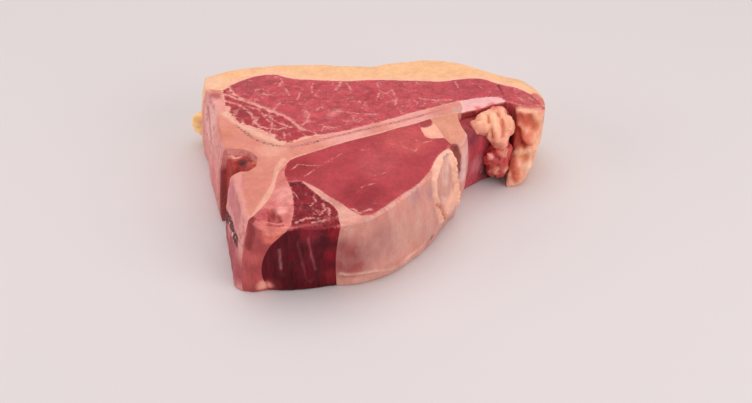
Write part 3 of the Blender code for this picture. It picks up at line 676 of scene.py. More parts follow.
                  ((184, 122, 122), (27.0, -52.0, 42.0), 1.0, 9.0),
                  ((186, 128, 130), (34.0, -43.0, 36.0), 0.5, 6.0),
                  ((244, 178, 152), (48.0, -24.0, 16.0), 6.0, 14.0),
                  ((120, 64, 64), (37.4, -43.4, 6.0), 0.8, 3.0)],
        "lines": [((221, 168, 153), FLAP_FILM, 2.6, 4.8, 0.95),
                  ((250, 188, 162), FLAP_LEFT, 1.4, 3.0, 0.9),
                  ((250, 188, 158), FLAP_RIGHT, 1.4, 3.2, 0.9),
                  ((206, 112, 88), FLAP_FOLD, 0.5, 1.8, 0.8),
                  ((232, 174, 156), LOW_LINE, 0.6, 1.8, 0.5),
                  ((222, 156, 136), ((-12.0, -78.4, 3.0), (6.0, -73.0, 3.0), (32.0, -50.0, 3.0)),
                   2.0, 5.0, 0.6),
                  # painted shade: dark reddish-brown band in the slit, partly the wall's own reddish-brown and
                  # partly shade
                  ((120, 46, 42), SLIT, 1.6, 3.0, 0.92)],
    },
    "seam_fat": {
        "face": (240, 174, 150), "wall": (240, 180, 160), "seam": ((236, 154, 136), 1.4, 0.7),
        "spots": [((168, 62, 66), (34.0, 13.0, 45.0), 4.6, 6.4)],
    },
    "channel_fat": {
        "face": (218, 143, 118), "wall": (224, 154, 140), "seam": ((214, 130, 108), 0.8, 0.5),
        "spots": [((226, 164, 152), (55.0, -2.0, 34.0), 3.0, 9.0),
                  ((220, 160, 154), (58.6, 0.0, 24.0), 3.0, 8.0)],
        "lines": [((228, 184, 178), ((56.8, 20.0, 44.5), (58.5, 12.0, 43.0), (58.8, 5.0, 40.0),
                                     (57.4, -1.0, 32.0), (55.8, -2.4, 16.0)), 1.4, 3.6, 0.9),
                  # painted shade: dark reddish-brown bands at the slit, partly the wall's own reddish-brown and
                  # partly shade
                  ((120, 46, 42), SLIT, 1.6, 2.8, 0.92),
                  ((142, 60, 54), ((50.4, -5.6, 42.6), (52.6, -5.0, 34.0), (53.0, -4.8, 24.0),
                                     (52.6, -4.8, 12.0)), 1.8, 3.2, 0.92)],
    },
    "flank_meat": {
        "face": (164, 64, 68), "wall": (184, 71, 81), "seam": None,
        # painted shade: darker red where the lump's left lobe shades the flank next to the slab
        "spots": [((140, 54, 66), (60.5, 9.0, 36.0), 2.0, 8.0),
                  ((200, 110, 118), (66.0, 12.0, 16.0), 3.0, 9.0),
                  # painted shadow: near-black patch low down behind the hanging trim
                  ((66, 20, 26), (78.0, 22.0, 8.0), 6.0, 14.0)],
        "lines": [((224, 156, 156), ((71.4, 12.0, 22.2), (71.0, 14.0, 16.0), (69.0, 16.0, 8.0)),
                   0.4, 1.2, 0.8)],
    },
    "tail_flap": {
        "face": (226, 146, 128), "wall": (240, 172, 140), "seam": ((182, 76, 80), 2.0, 0.95),
        "spots": [((206, 98, 76), (94.6, 22.8, 39.0), 1.6, 6.4),
                  ((212, 112, 84), (98.6, 21.0, 36.6), 1.0, 4.4),
                  ((240, 172, 134), (100.2, 22.8, 41.4), 1.0, 4.2),
                  ((170, 66, 60), (90.4, 24.4, 41.0), 1.4, 4.6),
                  ((228, 126, 104), (95.0, 18.2, 30.6), 3.4, 5.6),
                  # painted highlight: small pale glint on the nub
                  ((250, 186, 170), (93.9, 19.4, 34.6), 0.2, 1.5),
                  ((238, 172, 136), (99.6, 19.4, 30.0), 2.0, 5.0),
                  ((236, 168, 122), (93.4, 14.4, 20.4), 2.0, 4.8),
                  ((248, 194, 168), (97.4, 15.4, 12.4), 3.0, 6.4),
                  ((246, 184, 158), (85.4, 12.2, 2.6), 1.6, 4.6),
                  ((160, 62, 54), (85.6, 24.0, 26.0), 3.0, 6.0),
                  ((208, 140, 130), (103.4, 25.0, 40.0), 1.6, 4.0),
                  ((240, 184, 150), (103.0, 27.0, 22.0), 5.0, 12.0)],
        "lines": [((148, 50, 48), ((87.4, 29.4, 42.0), (87.6, 25.5, 38.0), (87.2, 22.5, 32.0), (86.6, 19.5, 26.0),
                                     (85.8, 17.4, 21.0)), 1.8, 4.2, 0.95),
                  ((238, 176, 142), ((91.0, 26.4, 44.4), (96.0, 25.6, 44.2), (102.0, 24.6, 43.6)),
                   0.8, 2.2, 0.8),
                  ((170, 50, 44), RED_POCKET, 2.6, 4.2, 0.97),
                  ((218, 108, 82), ((86.6, 15.0, 17.0), (88.6, 13.0, 11.6), (89.4, 12.4, 6.0)), 1.0, 4.6,
                   0.9),
                  ((246, 186, 152), PEACH_RIDGE, 0.6, 2.0, 0.8)],
        # painted shade: the hollow colour darkens the low places
        "hollow": ((212, 104, 78), 1.6, 0.5),
    },
    "fat_lump": {
        "face": (242, 172, 142), "wall": (238, 163, 138), "seam": None,
        "spots": [((247, 188, 154), (73.7, 18.0, 43.0), 3.0, 8.0),
                  ((226, 134, 120), (61.6, 19.0, 42.0), 2.0, 5.0),
                  ((224, 124, 108), (76.0, 29.0, 44.0), 2.0, 6.0),
                  ((216, 130, 108), (76.0, 11.0, 30.0), 2.0, 6.0)],
        # painted shade: the hollow colour darkens the low places
        "hollow": ((206, 106, 80), 0.9, 0.8),
    },
    "trim_lump": {
        "face": (202, 83, 80), "wall": (200, 80, 78), "seam": None,
        "spots": [((250, 160, 156), (73.4, 10.4, 23.0), 1.6, 2.8),
                  ((226, 144, 120), (80.8, 11.0, 25.6), 1.4, 4.0),
                  ((222, 138, 114), (77.0, 11.0, 14.0), 1.4, 4.4),
                  ((224, 140, 118), (82.4, 11.8, 13.0), 1.4, 4.0),
                  # painted shadow: dark red-brown at the foot of the trim, which hangs clear of the floor
                  ((96, 30, 30), (74.0, 16.0, 6.0), 2.0, 7.0)],
        # painted shade: the hollow colour darkens the low places
        "hollow": ((148, 46, 46), 1.1, 0.8),
    },
    "fat_scrap": {
        "face": (255, 208, 148), "wall": (255, 208, 148), "seam": None,
        "spots": [((214, 150, 104), (-102.0, 55.0, 20.0), 1.0, 5.0)],
        # painted shade: the hollow colour darkens the low places
        "hollow": ((220, 150, 92), 0.6, 0.6),
    },
}

# pale sinew lines on the cut faces: (line, half width), and how strongly the piece marbles
LOIN_VEINS = [
    (((-50.7, 60.7, 45), (-49.5, 57.8, 45), (-51.2, 53.0, 45)), 0.9),
    (((-13.9, 60.0, 45), (-15.2, 53.0, 45), (-17.1, 48.2, 45)), 1.0),
    (((-53.4, 24.5, 45), (-51.9, 28.5, 45), (-48.9, 33.0, 45), (-42.6, 34.3, 45)), 0.7),
    (((-34.9, 26.1, 45), (-31.9, 20.7, 45), (-32.3, 14.5, 45), (-35.0, 10.0, 45)), 0.8),
    (((-15.5, 24.0, 45), (-8.2, 22.5, 45), (-0.5, 21.6, 45), (8.0, 20.6, 45)), 0.8),
    (((-30.8, 55.9, 45), (-32.0, 50.0, 45), (-30.8, 44.5, 45)), 0.8),
    (((-10.8, 55.9, 45), (-8.2, 48.2, 45)), 0.8),
    (((-47.4, 49.2, 45), (-44.5, 41.7, 45)), 0.8),
    (((-38.3, 45.4, 45), (-39.3, 37.0, 45)), 0.7),
    (((7.2, 55.9, 45), (9.2, 46.4, 45), (7.2, 37.0, 45)), 0.8),
    (((9.2, 46.4, 45), (13.4, 43.0, 45), (16.2, 48.2, 45)), 0.7),
    (((16.2, 48.2, 45), (19.0, 37.0, 45), (17.9, 31.5, 45)), 0.9),
    (((32.7, 38.0, 45), (41.5, 36.6, 45), (51.3, 37.0, 45)), 0.7),
    (((54.4, 57.8, 45), (56.0, 50.1, 45)), 0.6),
    (((62.3, 57.0, 45), (68.0, 52.1, 45), (75.3, 45.0, 45)), 0.5),
    (((90.7, 38.9, 45), (93.2, 35.6, 45)), 0.8),
    (((96.7, 39.8, 45), (98.6, 36.4, 45)), 0.8),
    (((-24.8, 3.4, 45), (-22.4, 8.0, 45), (-17.0, 7.0, 45)), 0.8),
]
SEAM_VEIN = [
    (((-84.0, 43.4, 45), (-73.1, 37.0, 45), (-61.9, 31.0, 45), (-53.6, 25.0, 45),
      (-45.6, 19.4, 45), (-39.4, 12.0, 45), (-34.6, 5.0, 45)), 1.5),
]
INNER_VEINS = [
    (((-83.0, 38.0, 45), (-81.7, 35.2, 45), (-73.6, 31.5, 45), (-68.1, 25.2, 45),
      (-62.5, 15.5, 45), (-60.2, 9.0, 45)), 1.1),
    (((-68.5, 29.7, 45), (-61.4, 26.1, 45), (-54.7, 13.7, 45), (-50.5, 8.5, 45)), 0.9),
    (((-60.0, 8.5, 45), (-54.2, 6.8, 45), (-48.4, 5.1, 45), (-41.1, 8.5, 45)), 0.9),
    (((-60.2, 22.5, 45), (-55.1, 19.0, 45), (-48.9, 12.0, 45), (-41.0, 7.6, 45)), 0.8),
    (((-52.3, 6.8, 45), (-52.9, 1.7, 45), (-49.8, -2.5, 45)), 0.8),
    (((-45.4, 3.7, 45), (-44.1, -3.4, 45)), 0.7),
]
FILLET_VEINS = [
    (((-38.6, -33.9, 45), (-35.2, -29.3, 45), (-24.3, -30.8, 45)), 0.65),
    (((-31.1, -40.1, 45), (-21.7, -29.3, 45), (-11.1, -18.1, 45), (2.6, -14.9, 45)), 0.6),
    (((-3.3, -52.1, 45), (1.0, -49.1, 45), (6.3, -46.9, 45)), 0.65),
    (((6.3, -8.4, 45), (17.4, -10.0, 45), (28.3, -16.5, 45), (32.2, -8.4, 45), (38.0, -6.4, 45)), 0.65),
    (((0.8, -21.4, 45), (11.7, -21.4, 45)), 0.55),
    (((1.0, -43.1, 45), (14.3, -35.5, 45)), 0.55),
    (((29.3, -5.9, 45), (29.6, -5.7, 45)), 0.8),
    (((-2.2, -14.9, 45), (-1.9, -14.7, 45)), 0.8),
    (((-5.6, -68.6, 45), (-1.5, -71.8, 45), (4.4, -69.0, 45)), 0.9),
]
SIDE_VEINS = [
    (((-36.6, -54.0, 45), (-33.4, -60.0, 45)), 0.5),
    (((-25.6, -57.6, 45), (-24.6, -62.0, 45), (-26.6, -66.0, 45)), 0.8),
    (((-33.0, -80.0, 45), (-28.4, -76.6, 45), (-24.2, -76.1, 45)), 1.0),
    (((-20.6, -64.0, 45), (-19.4, -69.4, 45), (-21.6, -74.0, 45)), 0.9),
    (((-25.6, -80.0, 45), (-21.4, -79.4, 45), (-17.6, -77.6, 45)), 0.9),
    (((-17.6, -68.0, 45), (-17.0, -73.6, 45)), 0.9),
]
SHEATH_VEINS = [
    (((-9.4, -82.2, 42.4), (-3.9, -80.8, 40.8), (2.1, -78.4, 38.8)), 0.5),
    (LOW_LINE, 0.7),
]
GASH_VEINS = [
    (((-71.0, -50.5, 28.0), (-70.6, -52.6, 25.4)), 0.7), (((-69.4, -57.0, 22.0), (-68.6, -60.0, 20.0)), 0.8),
    (((-67.6, -63.6, 25.6), (-67.0, -66.0, 23.6)), 0.7), (((-66.2, -69.0, 21.0), (-65.8, -71.0, 18.6)), 0.8),
    (((-72.8, -44.0, 24.0), (-72.2, -46.0, 21.0)), 0.6),
]
VEINS = {
    "t_bone": GASH_VEINS,
    "strip_loin": LOIN_VEINS + SEAM_VEIN, "inner_loin": INNER_VEINS + SEAM_VEIN,
    "fillet": FILLET_VEINS, "side_muscle": SIDE_VEINS, "fillet_fat": SHEATH_VEINS,
}
# how much of its marbling each piece shows, and where it shows less or more: (share, centre, radius)
MARBLE = {
    "strip_loin": (0.9, [(0.35, (60.0, 50.0, 45.0), 26.0), (1.0, (-20.0, 35.0, 45.0), 34.0),
                         (0.45, (94.0, 37.0, 45.0), 14.0)]),
    "inner_loin": (0.4, [(0.1, (-71.0, 22.0, 45.0), 8.0)]),
    "fillet": (0.28, [(0.7, (0.0, -62.0, 45.0), 12.0), (0.45, (24.0, -6.0, 45.0), 18.0)]),
    "side_muscle": (0.28, [(0.95, (-19.0, -72.0, 45.0), 11.0)]),
    "flank_meat": (0.25, []), "trim_lump": (0.8, []),
}
WALL_MARBLE = 0.15      # share of the marbling that a wall shows
WALL_VEINED = ("fillet_fat", "t_bone")
# dark pits and grey-green specks along lines: (line, half width, density)
SPECKS = {
    "t_bone": [
        (((-71.0, 8.0, 45), (-69.0, 5.4, 45), (-60.7, -5.0, 45), (-50.3, -10.4, 45), (-42.0, -12.4, 45)),
         0.9, 1.0),
        (((-39.9, -11.8, 45), (-28.1, -7.7, 45), (-18.0, -3.0, 45)), 0.9, 0.9),
        (((-13.4, -0.2, 45), (5.3, 7.8, 45), (29.3, 18.6, 45), (39.0, 23.5, 45)), 0.7, 0.6),
        (((-56.0, -60.0, 45), (-60.0, -50.0, 45), (-61.0, -40.0, 45)), 5.0, 0.12),
        (((-81.6, 36.0, 45), (-81.4, 35.8, 45)), 0.8, 1.0),
        (((-78.9, 21.8, 45), (-78.7, 21.4, 45)), 0.8, 1.0),
    ],
    "side_muscle": [],
}


# crumbs of fat and marrow in the torn hollow: (colour, centre, radius), painted last
CRUMBS = {
    "t_bone": [((250, 214, 204), (-75.6, -41.0, 17.0), 1.3), ((250, 214, 204), (-74.0, -46.6, 18.0), 1.5),
               ((204, 64, 70), (-73.0, -49.4, 21.6), 1.4), ((250, 206, 198), (-72.2, -53.0, 18.8), 1.4),
               ((252, 220, 210), (-70.6, -58.4, 19.8), 1.7), ((204, 64, 70), (-69.4, -60.6, 23.0), 1.5),
               ((250, 210, 200), (-69.0, -64.0, 21.0), 1.3), ((204, 64, 70), (-67.0, -68.6, 24.6), 1.4)],
}


def line_share(points, line, inner, outer):
    return 1.0 - smooth(line_distance(points, line), inner, outer)


def paint(name, points, on_face, seams, lift):
    """The vertex colours and the vein, marble and speck masks of a piece."""
    plan = PAINT[name]
    wander = points + np.stack([rough(points, 4.0, seed) for seed in (1.5, 9.5, 17.5)], axis=1)
    face, wall = linear(plan["face"]), linear(plan["wall"])
    tone = wall + (face - wall) * on_face[:, None]
    if plan["seam"]:
        colour, width, share = plan["seam"]
        near = share * np.exp(-(seams / width) ** 2) * on_face
        tone += (linear(colour) - tone) * near[:, None]
    for colour, centre, inner, outer in plan.get("spots", ()):
        near = 1.0 - smooth(spot_distance(wander, centre), inner, outer)
        tone += (linear(colour) - tone) * near[:, None]
    for colour, line, inner, outer, share in plan.get("lines", ()):
        near = share * line_share(points + 0.5 * (wander - points), line, inner, outer)
        tone += (linear(colour) - tone) * near[:, None]
    # painted shade: low places of the sculpted relief are darkened towards the hollow colour, as shade would make
    # them
    if "hollow" in plan:
        colour, reach, share = plan["hollow"]
        near = share * smooth(-lift, 0.0, reach)
        tone += (linear(colour) - tone) * near[:, None]
    for colour, centre, radius in CRUMBS.get(name, ()):
        near = 1.0 - smooth(spot_distance(wander, centre), 0.4 * radius, radius)
        tone += (linear(colour) - tone) * near[:, None]
    # veins hold distance over half width, which the material turns into crisp ragged lines
    vein = np.full(len(points), 4.0)
    for line, width in VEINS.get(name, ()):
        vein = np.minimum(vein, line_distance(points + 0.6 * (wander - points), line) / width)
    amount, places = MARBLE.get(name, (0.0, []))
    marble = np.full(len(points), amount)
    for share, centre, radius in places:
        near = 1.0 - smooth(spot_distance(wander, centre), 0.4 * radius, radius)
        marble += (share - marble) * near
    marble *= WALL_MARBLE + (1.0 - WALL_MARBLE) * on_face
    if name not in WALL_VEINED:
        vein = np.maximum(vein, 4.0 * (1.0 - on_face))
    speck = np.zeros(len(points))
    for line, width, density in SPECKS.get(name, ()):
        near = density * line_share(points + 0.3 * (wander - points), line, 0.4 * width, 1.6 * width)
        speck = np.maximum(speck, near)
    return tone, {"vein": vein, "marble": marble, "speck": speck, "seam": seams,
                  "wall": 1.0 - on_face}


# ---------------------------------------------------------------- materials

class Graph:
    """A material's node tree, with short calls for the nodes that the tissues share."""

    def __init__(self, name):
        self.material = bpy.data.materials.new(name)
        self.material.use_nodes = True
        self.tree = self.material.node_tree
        self.shader = self.tree.nodes["Principled BSDF"]

    def add(self, kind, inputs=None, **settings):
        node = self.tree.nodes.new(kind)
        for key, value in settings.items():
            setattr(node, key, value)
        for key, value in (inputs or {}).items():
            if isinstance(value, bpy.types.NodeSocket):
                self.tree.links.new(value, node.inputs[key])
            else:
                node.inputs[key].default_value = value
        return node

    def attribute(self, name):
        return self.add("ShaderNodeAttribute", attribute_name=name)

    def math(self, operation, *values):
        return self.add("ShaderNodeMath", dict(enumerate(values)), operation=operation).outputs[0]

    def noise(self, where, size, detail=2.0, distortion=0.0):
        node = self.add("ShaderNodeTexNoise", {"Vector": where, "Scale": 1.0 / size,
                                               "Detail": detail, "Distortion": distortion})
        return node.outputs["Fac"]

    def ramp(self, value, low, high, start=0.0, end=1.0):
        node = self.add("ShaderNodeMapRange", {"Value": value, "From Min": low, "From Max": high,
                                               "To Min": start, "To Max": end},
                        interpolation_type="SMOOTHSTEP")
        return node.outputs["Result"]

    def mix(self, share, low, high):
        node = self.add("ShaderNodeMix", {0: share, 6: low, 7: high}, data_type="RGBA")
        return node.outputs[2]

    def scale(self, colour, amount):
        node = self.add("ShaderNodeVectorMath", {0: colour, "Scale": amount}, operation="SCALE")
        return node.outputs[0]

    def link(self, value, socket):
        self.tree.links.new(value, self.shader.inputs[socket])


def colour4(colour):
    return (*linear(colour), 1.0)


def tissue(name, pale, stretch=1.0, mottle=(6.0, 0.1), grain=(0.7, 0.08), marble_size=5.0,
           marble_width=0.03, marble_share=0.6, speck=(90, 70, 66), wet=(0.3, 0.5), coat=0.1,
           gloss_level=0.2, scatter=0.1, scatter_size=2.0, relief=0.25, fibre=0.0, film=0.0,
           edge=None, ragged_size=1.7, lobes=None, marrow=None):
    """A tissue's material: painted tone, mottled and grained, with marbling, veins and specks.

    edge is (colour, width, raggedness, share) for the fascia along its seams, lobes is (size,
    width, share) for a net of pale walls between small muscles, and marrow is (colour, share)
    for the blotches of sawn or torn walls."""
    g = Graph(name)
    where = g.add("ShaderNodeTexCoord").outputs["Object"]
    where = g.add("ShaderNodeMapping", {"Vector": where, "Scale": (1000, 1000, 1000 * stretch)})
    where = where.outputs["Vector"]
    drift = g.add("ShaderNodeTexNoise", {"Vector": where, "Scale": 0.22, "Detail": 2.0}).outputs["Color"]
    drift = g.add("ShaderNodeVectorMath", {0: drift, 1: (0.5, 0.5, 0.5)}, operation="SUBTRACT")
    drift = g.add("ShaderNodeVectorMath", {0: drift.outputs[0], "Scale": 3.0}, operation="SCALE")
    bent = g.add("ShaderNodeVectorMath", {0: where, 1: drift.outputs[0]}, operation="ADD").outputs[0]

    tone = g.attribute("tone").outputs["Color"]
    broad = g.ramp(g.noise(where, mottle[0], 3.0), 0.3, 0.7, 1.0 - mottle[1], 1.0 + mottle[1])
    middle = g.ramp(g.noise(bent, mottle[0] * 0.3, 2.0), 0.3, 0.7, 1.0 - 0.7 * mottle[1],
                    1.0 + 0.7 * mottle[1])
    fine_value = g.noise(bent, grain[0], 3.0)
    fine = g.ramp(fine_value, 0.3, 0.7, 1.0 - grain[1], 1.0 + grain[1])
    tone = g.scale(tone, g.math("MULTIPLY", g.math("MULTIPLY", broad, middle), fine))
    height = g.math("MULTIPLY", fine_value, 0.5)
    if fibre:
        # bundles of fibres: small cells with darker joints
        cells = g.add("ShaderNodeTexVoronoi", {"Vector": bent, "Scale": 0.62, "Randomness": 1.0},
                      feature="DISTANCE_TO_EDGE").outputs["Distance"]
        joint = g.ramp(cells, 0.0, 0.22, 1.0 - fibre, 1.0)
        tone = g.scale(tone, joint)
        height = g.math("ADD", height, g.math("MULTIPLY", joint, 0.6))
    if marrow:
        blot = g.ramp(g.noise(bent, 3.2, 4.0, 0.8), 0.5, 0.66)
        blot = g.math("MULTIPLY", blot, g.attribute("wall").outputs["Fac"])
        tone = g.mix(g.math("MULTIPLY", blot, marrow[1]), tone, colour4(marrow[0]))
        height = g.math("SUBTRACT", height, g.math("MULTIPLY", blot, 0.9))
    ragged = g.noise(bent, ragged_size, 2.0)
    if lobes:
        cells = g.add("ShaderNodeTexVoronoi", {"Vector": bent, "Scale": 1.0 / lobes[0]},
                      feature="DISTANCE_TO_EDGE").outputs["Distance"]
        cells = g.math("ADD", cells, g.ramp(ragged, 0.3, 0.7, -0.05, 0.09))
        net = g.ramp(cells, 0.0, lobes[1], lobes[2], 0.0)
        tone = g.mix(net, tone, colour4(pale))

    # marbling: thin lines where slow noise crosses its middle, in patches
    amount = g.attribute("marble").outputs["Fac"]
    mask = None
    for part, width, seed, strength in ((1.0, marble_width, 0.0, 1.0), (0.4, 1.3 * marble_width, 40.0, 0.55)):
        size = marble_size * part
        shifted = g.add("ShaderNodeVectorMath", {0: bent, 1: (seed, seed, 0.0)}, operation="ADD").outputs[0]
        level = g.math("ABSOLUTE", g.math("SUBTRACT", g.noise(shifted, size, 1.5, 0.6), 0.5))
        line = g.ramp(level, 0.0, width, 1.0, 0.0)
        patch = g.ramp(g.noise(shifted, size * 1.6, 1.0), 0.48, 0.66)
        line = g.math("MULTIPLY", g.math("MULTIPLY", line, patch), strength)
        mask = line if mask is None else g.math("MAXIMUM", mask, line)
    mask = g.math("MULTIPLY", mask, amount)
    tone = g.mix(g.math("MULTIPLY", mask, marble_share), tone, colour4(pale))

    # painted veins, ragged at the edge
    vein = g.attribute("vein").outputs["Fac"]
    vein = g.math("ADD", vein, g.ramp(g.noise(bent, 1.3, 2.0), 0.3, 0.7, -0.4, 0.6))
    vein = g.ramp(vein, 0.1, 1.4, 1.0, 0.0)
    tone = g.mix(g.math("MULTIPLY", vein, 0.84), tone, colour4(pale))
    height = g.math("ADD", height, g.math("MULTIPLY", g.math("MAXIMUM", vein, mask), 0.6))
    if edge:
        near = g.math("ADD", g.attribute("seam").outputs["Fac"],
                      g.ramp(ragged, 0.3, 0.7, -edge[2], edge[2]))
        near = g.ramp(near, 0.3 * edge[1], edge[1] + 0.5, edge[3], 0.0)
        near = g.math("MULTIPLY", near, g.math("SUBTRACT", 1.0, g.attribute("wall").outputs["Fac"]))
        tone = g.mix(near, tone, colour4(edge[0]))

    # specks: the darkest centres of small cells, only where they are painted
    dots = g.add("ShaderNodeTexVoronoi", {"Vector": where, "Scale": 0.8}).outputs["Distance"]
    dots = g.ramp(dots, 0.22, 0.5, 1.0, 0.0)
    dots = g.math("MULTIPLY", dots, g.ramp(g.attribute("speck").outputs["Fac"], 0.05, 0.7))
    tone = g.mix(g.math("MULTIPLY", dots, 0.9), tone, colour4(speck))
    height = g.math("SUBTRACT", height, g.math("MULTIPLY", dots, 1.2))

    if film:
        # a thin silvery skin: pale cloudy patches over what lies under it
        cloud = g.ramp(g.noise(bent, 7.0, 4.0), 0.35, 0.7)
        tone = g.mix(g.math("MULTIPLY", cloud, film), tone, colour4((226, 190, 178)))
    g.link(tone, "Base Color")
    gloss = g.ramp(g.noise(where, 2.2, 3.0), 0.3, 0.7, wet[0], wet[1])
    g.link(gloss, "Roughness")
    bump = g.add("ShaderNodeBump", {"Height": height, "Strength": relief, "Distance": 0.0006})
    g.link(bump.outputs["Normal"], "Normal")
    g.shader.inputs["Subsurface Weight"].default_value = scatter
    g.shader.inputs["Subsurface Radius"].default_value = (1.0, 0.35, 0.25)
    g.shader.inputs["Subsurface Scale"].default_value = scatter_size * MM
    g.shader.inputs["Coat Weight"].default_value = coat
    g.shader.inputs["Coat Roughness"].default_value = 0.22
    g.shader.inputs["Specular IOR Level"].default_value = gloss_level
    return g.material


MUSCLE_PALE = (228, 150, 142)


def tissues():
    return {
        "fat": tissue("fat_tissue", (250, 200, 160), mottle=(9.0, 0.06), grain=(1.4, 0.04),
                      wet=(0.4, 0.62), coat=0.06, scatter=0.15, relief=0.2),
        "soft_fat": tissue("soft_fat_tissue", (246, 190, 156), mottle=(5.0, 0.06), grain=(1.2, 0.03),
                           wet=(0.28, 0.46), coat=0.15, scatter=0.15, relief=0.2),
        "muscle": tissue("muscle_tissue", MUSCLE_PALE, stretch=0.25, mottle=(6.0, 0.17),
                         grain=(0.8, 0.07), fibre=0.08, marble_size=6.0, marble_width=0.04,
                         marble_share=0.72, wet=(0.34, 0.54), relief=0.3,
                         edge=((226, 140, 128), 0.5, 0.7, 0.7)),
        "lobed": tissue("lobed_muscle_tissue", (234, 162, 148), stretch=0.25, mottle=(4.0, 0.14),
                        grain=(0.8, 0.08), fibre=0.08, marble_share=0.4, wet=(0.34, 0.54), relief=0.4,
                        lobes=(9.0, 0.085, 0.35), edge=((236, 168, 150), 1.2, 1.3, 0.95),
                        ragged_size=4.2),
        "tender": tissue("fillet_tissue", MUSCLE_PALE, stretch=0.25, mottle=(8.0, 0.1),
                         grain=(0.45, 0.08), fibre=0.07, marble_size=7.0, marble_width=0.015,
                         marble_share=0.45, wet=(0.34, 0.52), relief=0.25,
                         edge=((206, 108, 106), 0.4, 0.5, 0.6)),
        "dark": tissue("dark_muscle_tissue", (224, 148, 140), stretch=0.12, mottle=(5.0, 0.25),
                       grain=(0.8, 0.08), marble_size=3.4, marble_width=0.05, marble_share=0.75,
                       wet=(0.2, 0.42), coat=0.04, gloss_level=0.1, relief=0.25,
                       edge=((206, 112, 108), 0.3, 0.8, 0.6)),
        "sheath": tissue("sheath_tissue", (238, 186, 166), stretch=0.5, mottle=(11.0, 0.08),
                         grain=(1.0, 0.03), wet=(0.2, 0.36), coat=0.3, film=0.2, relief=0.14,
                         edge=((234, 164, 144), 0.2, 0.8, 0.6)),
        "bone": tissue("bone_tissue", (240, 190, 168), mottle=(7.0, 0.06), grain=(0.7, 0.05),
                       speck=(88, 74, 66), wet=(0.45, 0.65), coat=0.04, scatter=0.06, relief=0.3,
                       marrow=((176, 92, 92), 0.55), edge=((237, 176, 154), 0.8, 0.8, 0.6)),
        "sinew": tissue("sinew_tissue", (238, 172, 158), stretch=0.4, mottle=(4.6, 0.12), grain=(0.9, 0.03),
                        wet=(0.28, 0.5), coat=0.15, scatter=0.15, relief=0.2,
                        marrow=((170, 72, 72), 0.25)),
        "gristle": tissue("gristle_tissue", (250, 204, 200), mottle=(6.0, 0.05), grain=(1.2, 0.03),
                          wet=(0.25, 0.4), coat=0.2, scatter=0.25, relief=0.1,
                          marrow=((140, 52, 54), 0.9)),
    }


# each node's tissue, and a slot name that nothing in this script reads
DRESS = {
    "fat_cap": ("fat", "fat"), "fat_scrap": ("fat", "fat"), "seam_fat": ("fat", "fat"),
    "channel_fat": ("soft_fat", "soft_fat"), "tail_flap": ("soft_fat", "soft_fat"),
    "fat_lump": ("soft_fat", "soft_fat"), "strip_loin": ("muscle", "muscle"),
    "inner_loin": ("lobed", "muscle"), "fillet": ("tender", "muscle"),
    "flank_meat": ("muscle", "muscle"), "trim_lump": ("sinew", "muscle"),
    "side_muscle": ("dark", "dark_muscle"), "fillet_fat": ("sheath", "sheath"),
    "canal_lining": ("sinew", "sinew"), "bone_sinew": ("sinew", "sinew"),
    "t_bone": ("bone", "bone"), "gristle_tip": ("gristle", "gristle"),
}


def dress(name, materials):
    points, rest, faces, on_face, seams, lift = loose(name) if name in LOOSE else slab(name)
    tone, masks = paint(name, rest, on_face, seams, lift)
    data = bpy.data.meshes.new("dressed_" + name)
    data.from_pydata((points * MM).tolist(), [], faces)
    data.update()
    colours = data.color_attributes.new("tone", "FLOAT_COLOR", "POINT")
    flat = np.ones((len(points), 4))
    flat[:, :3] = np.clip(tone, 0.0, 1.0)
    colours.data.foreach_set("color", flat.ravel())
    for key, values in masks.items():
        layer = data.attributes.new(key, "FLOAT", "POINT")
        layer.data.foreach_set("value", values.astype(np.float32))
    data.shade_smooth()
    data.set_sharp_from_angle(angle=math.radians(48.0))
    piece = bpy.data.objects.new("dressed_" + name, data)
    bpy.context.scene.collection.objects.link(piece)
    tissue_name, slot = DRESS[name]
    data.materials.append(materials[tissue_name])
    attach(piece, "root")
    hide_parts(name)
    return piece


# ---------------------------------------------------------------- floor, light and camera

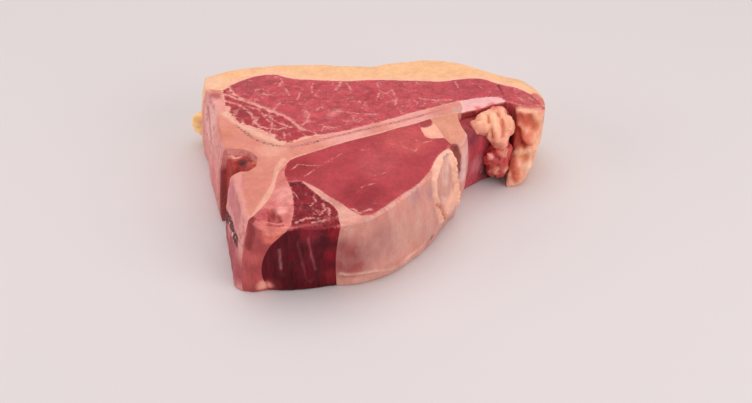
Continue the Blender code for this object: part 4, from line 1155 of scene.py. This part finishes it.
def stage():
    data = bpy.data.meshes.new("floor")
    wide = 3.0
    data.from_pydata([(-wide, -wide, 0), (wide, -wide, 0), (wide, wide, 0), (-wide, wide, 0)], [],
                     [(0, 1, 2, 3)])
    ground = bpy.data.objects.new("floor", data)
    bpy.context.scene.collection.objects.link(ground)
    material = bpy.data.materials.new("pale_floor")
    material.use_nodes = True
    shader = material.node_tree.nodes["Principled BSDF"]
    shader.inputs["Base Color"].default_value = colour4((219, 209, 209))
    shader.inputs["Roughness"].default_value = 0.8
    data.materials.append(material)
    ground.location.z = -0.0001


def area_light(name, place, size, power, aim=(0.0, 0.0, 0.02), colour=(1.0, 1.0, 1.0)):
    data = bpy.data.lights.new(name, "AREA")
    data.shape = "DISK"
    data.size = size
    data.energy = power
    data.color = colour
    lamp = bpy.data.objects.new(name, data)
    lamp.location = place
    lamp.rotation_euler = (Vector(aim) - Vector(place)).to_track_quat("-Z", "Y").to_euler()
    bpy.context.scene.collection.objects.link(lamp)


def lighting():
    area_light("key", (0.0, 0.22, 1.15), 1.2, 6.2)
    area_light("fill", (0.9, -0.65, 0.55), 1.0, 6.0)
    area_light("left", (-1.0, -0.25, 0.45), 0.8, 3.2)
    world = bpy.data.worlds.new("studio")
    world.use_nodes = True
    backdrop = world.node_tree.nodes["Background"]
    backdrop.inputs["Color"].default_value = (1.0, 0.985, 0.98, 1.0)
    backdrop.inputs["Strength"].default_value = 0.52
    bpy.context.scene.world = world
    bpy.context.scene.view_settings.view_transform = "Standard"


def camera():
    data = bpy.data.cameras.new("camera")
    data.lens = CAMERA_LENS
    data.sensor_width = SENSOR
    view = bpy.data.objects.new("camera", data)
    slope = math.radians(CAMERA_ELEVATION)
    offset = Vector((0.0, -math.cos(slope), math.sin(slope))) * CAMERA_DISTANCE
    view.location = (CAMERA_AIM + offset) * MM
    view.rotation_euler = (math.pi / 2 - slope, 0.0, 0.0)
    bpy.context.scene.collection.objects.link(view)
    bpy.context.scene.camera = view


materials = tissues()
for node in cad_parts:
    dress(node, materials)
stage()
lighting()
camera()

bpy.context.view_layer.update()
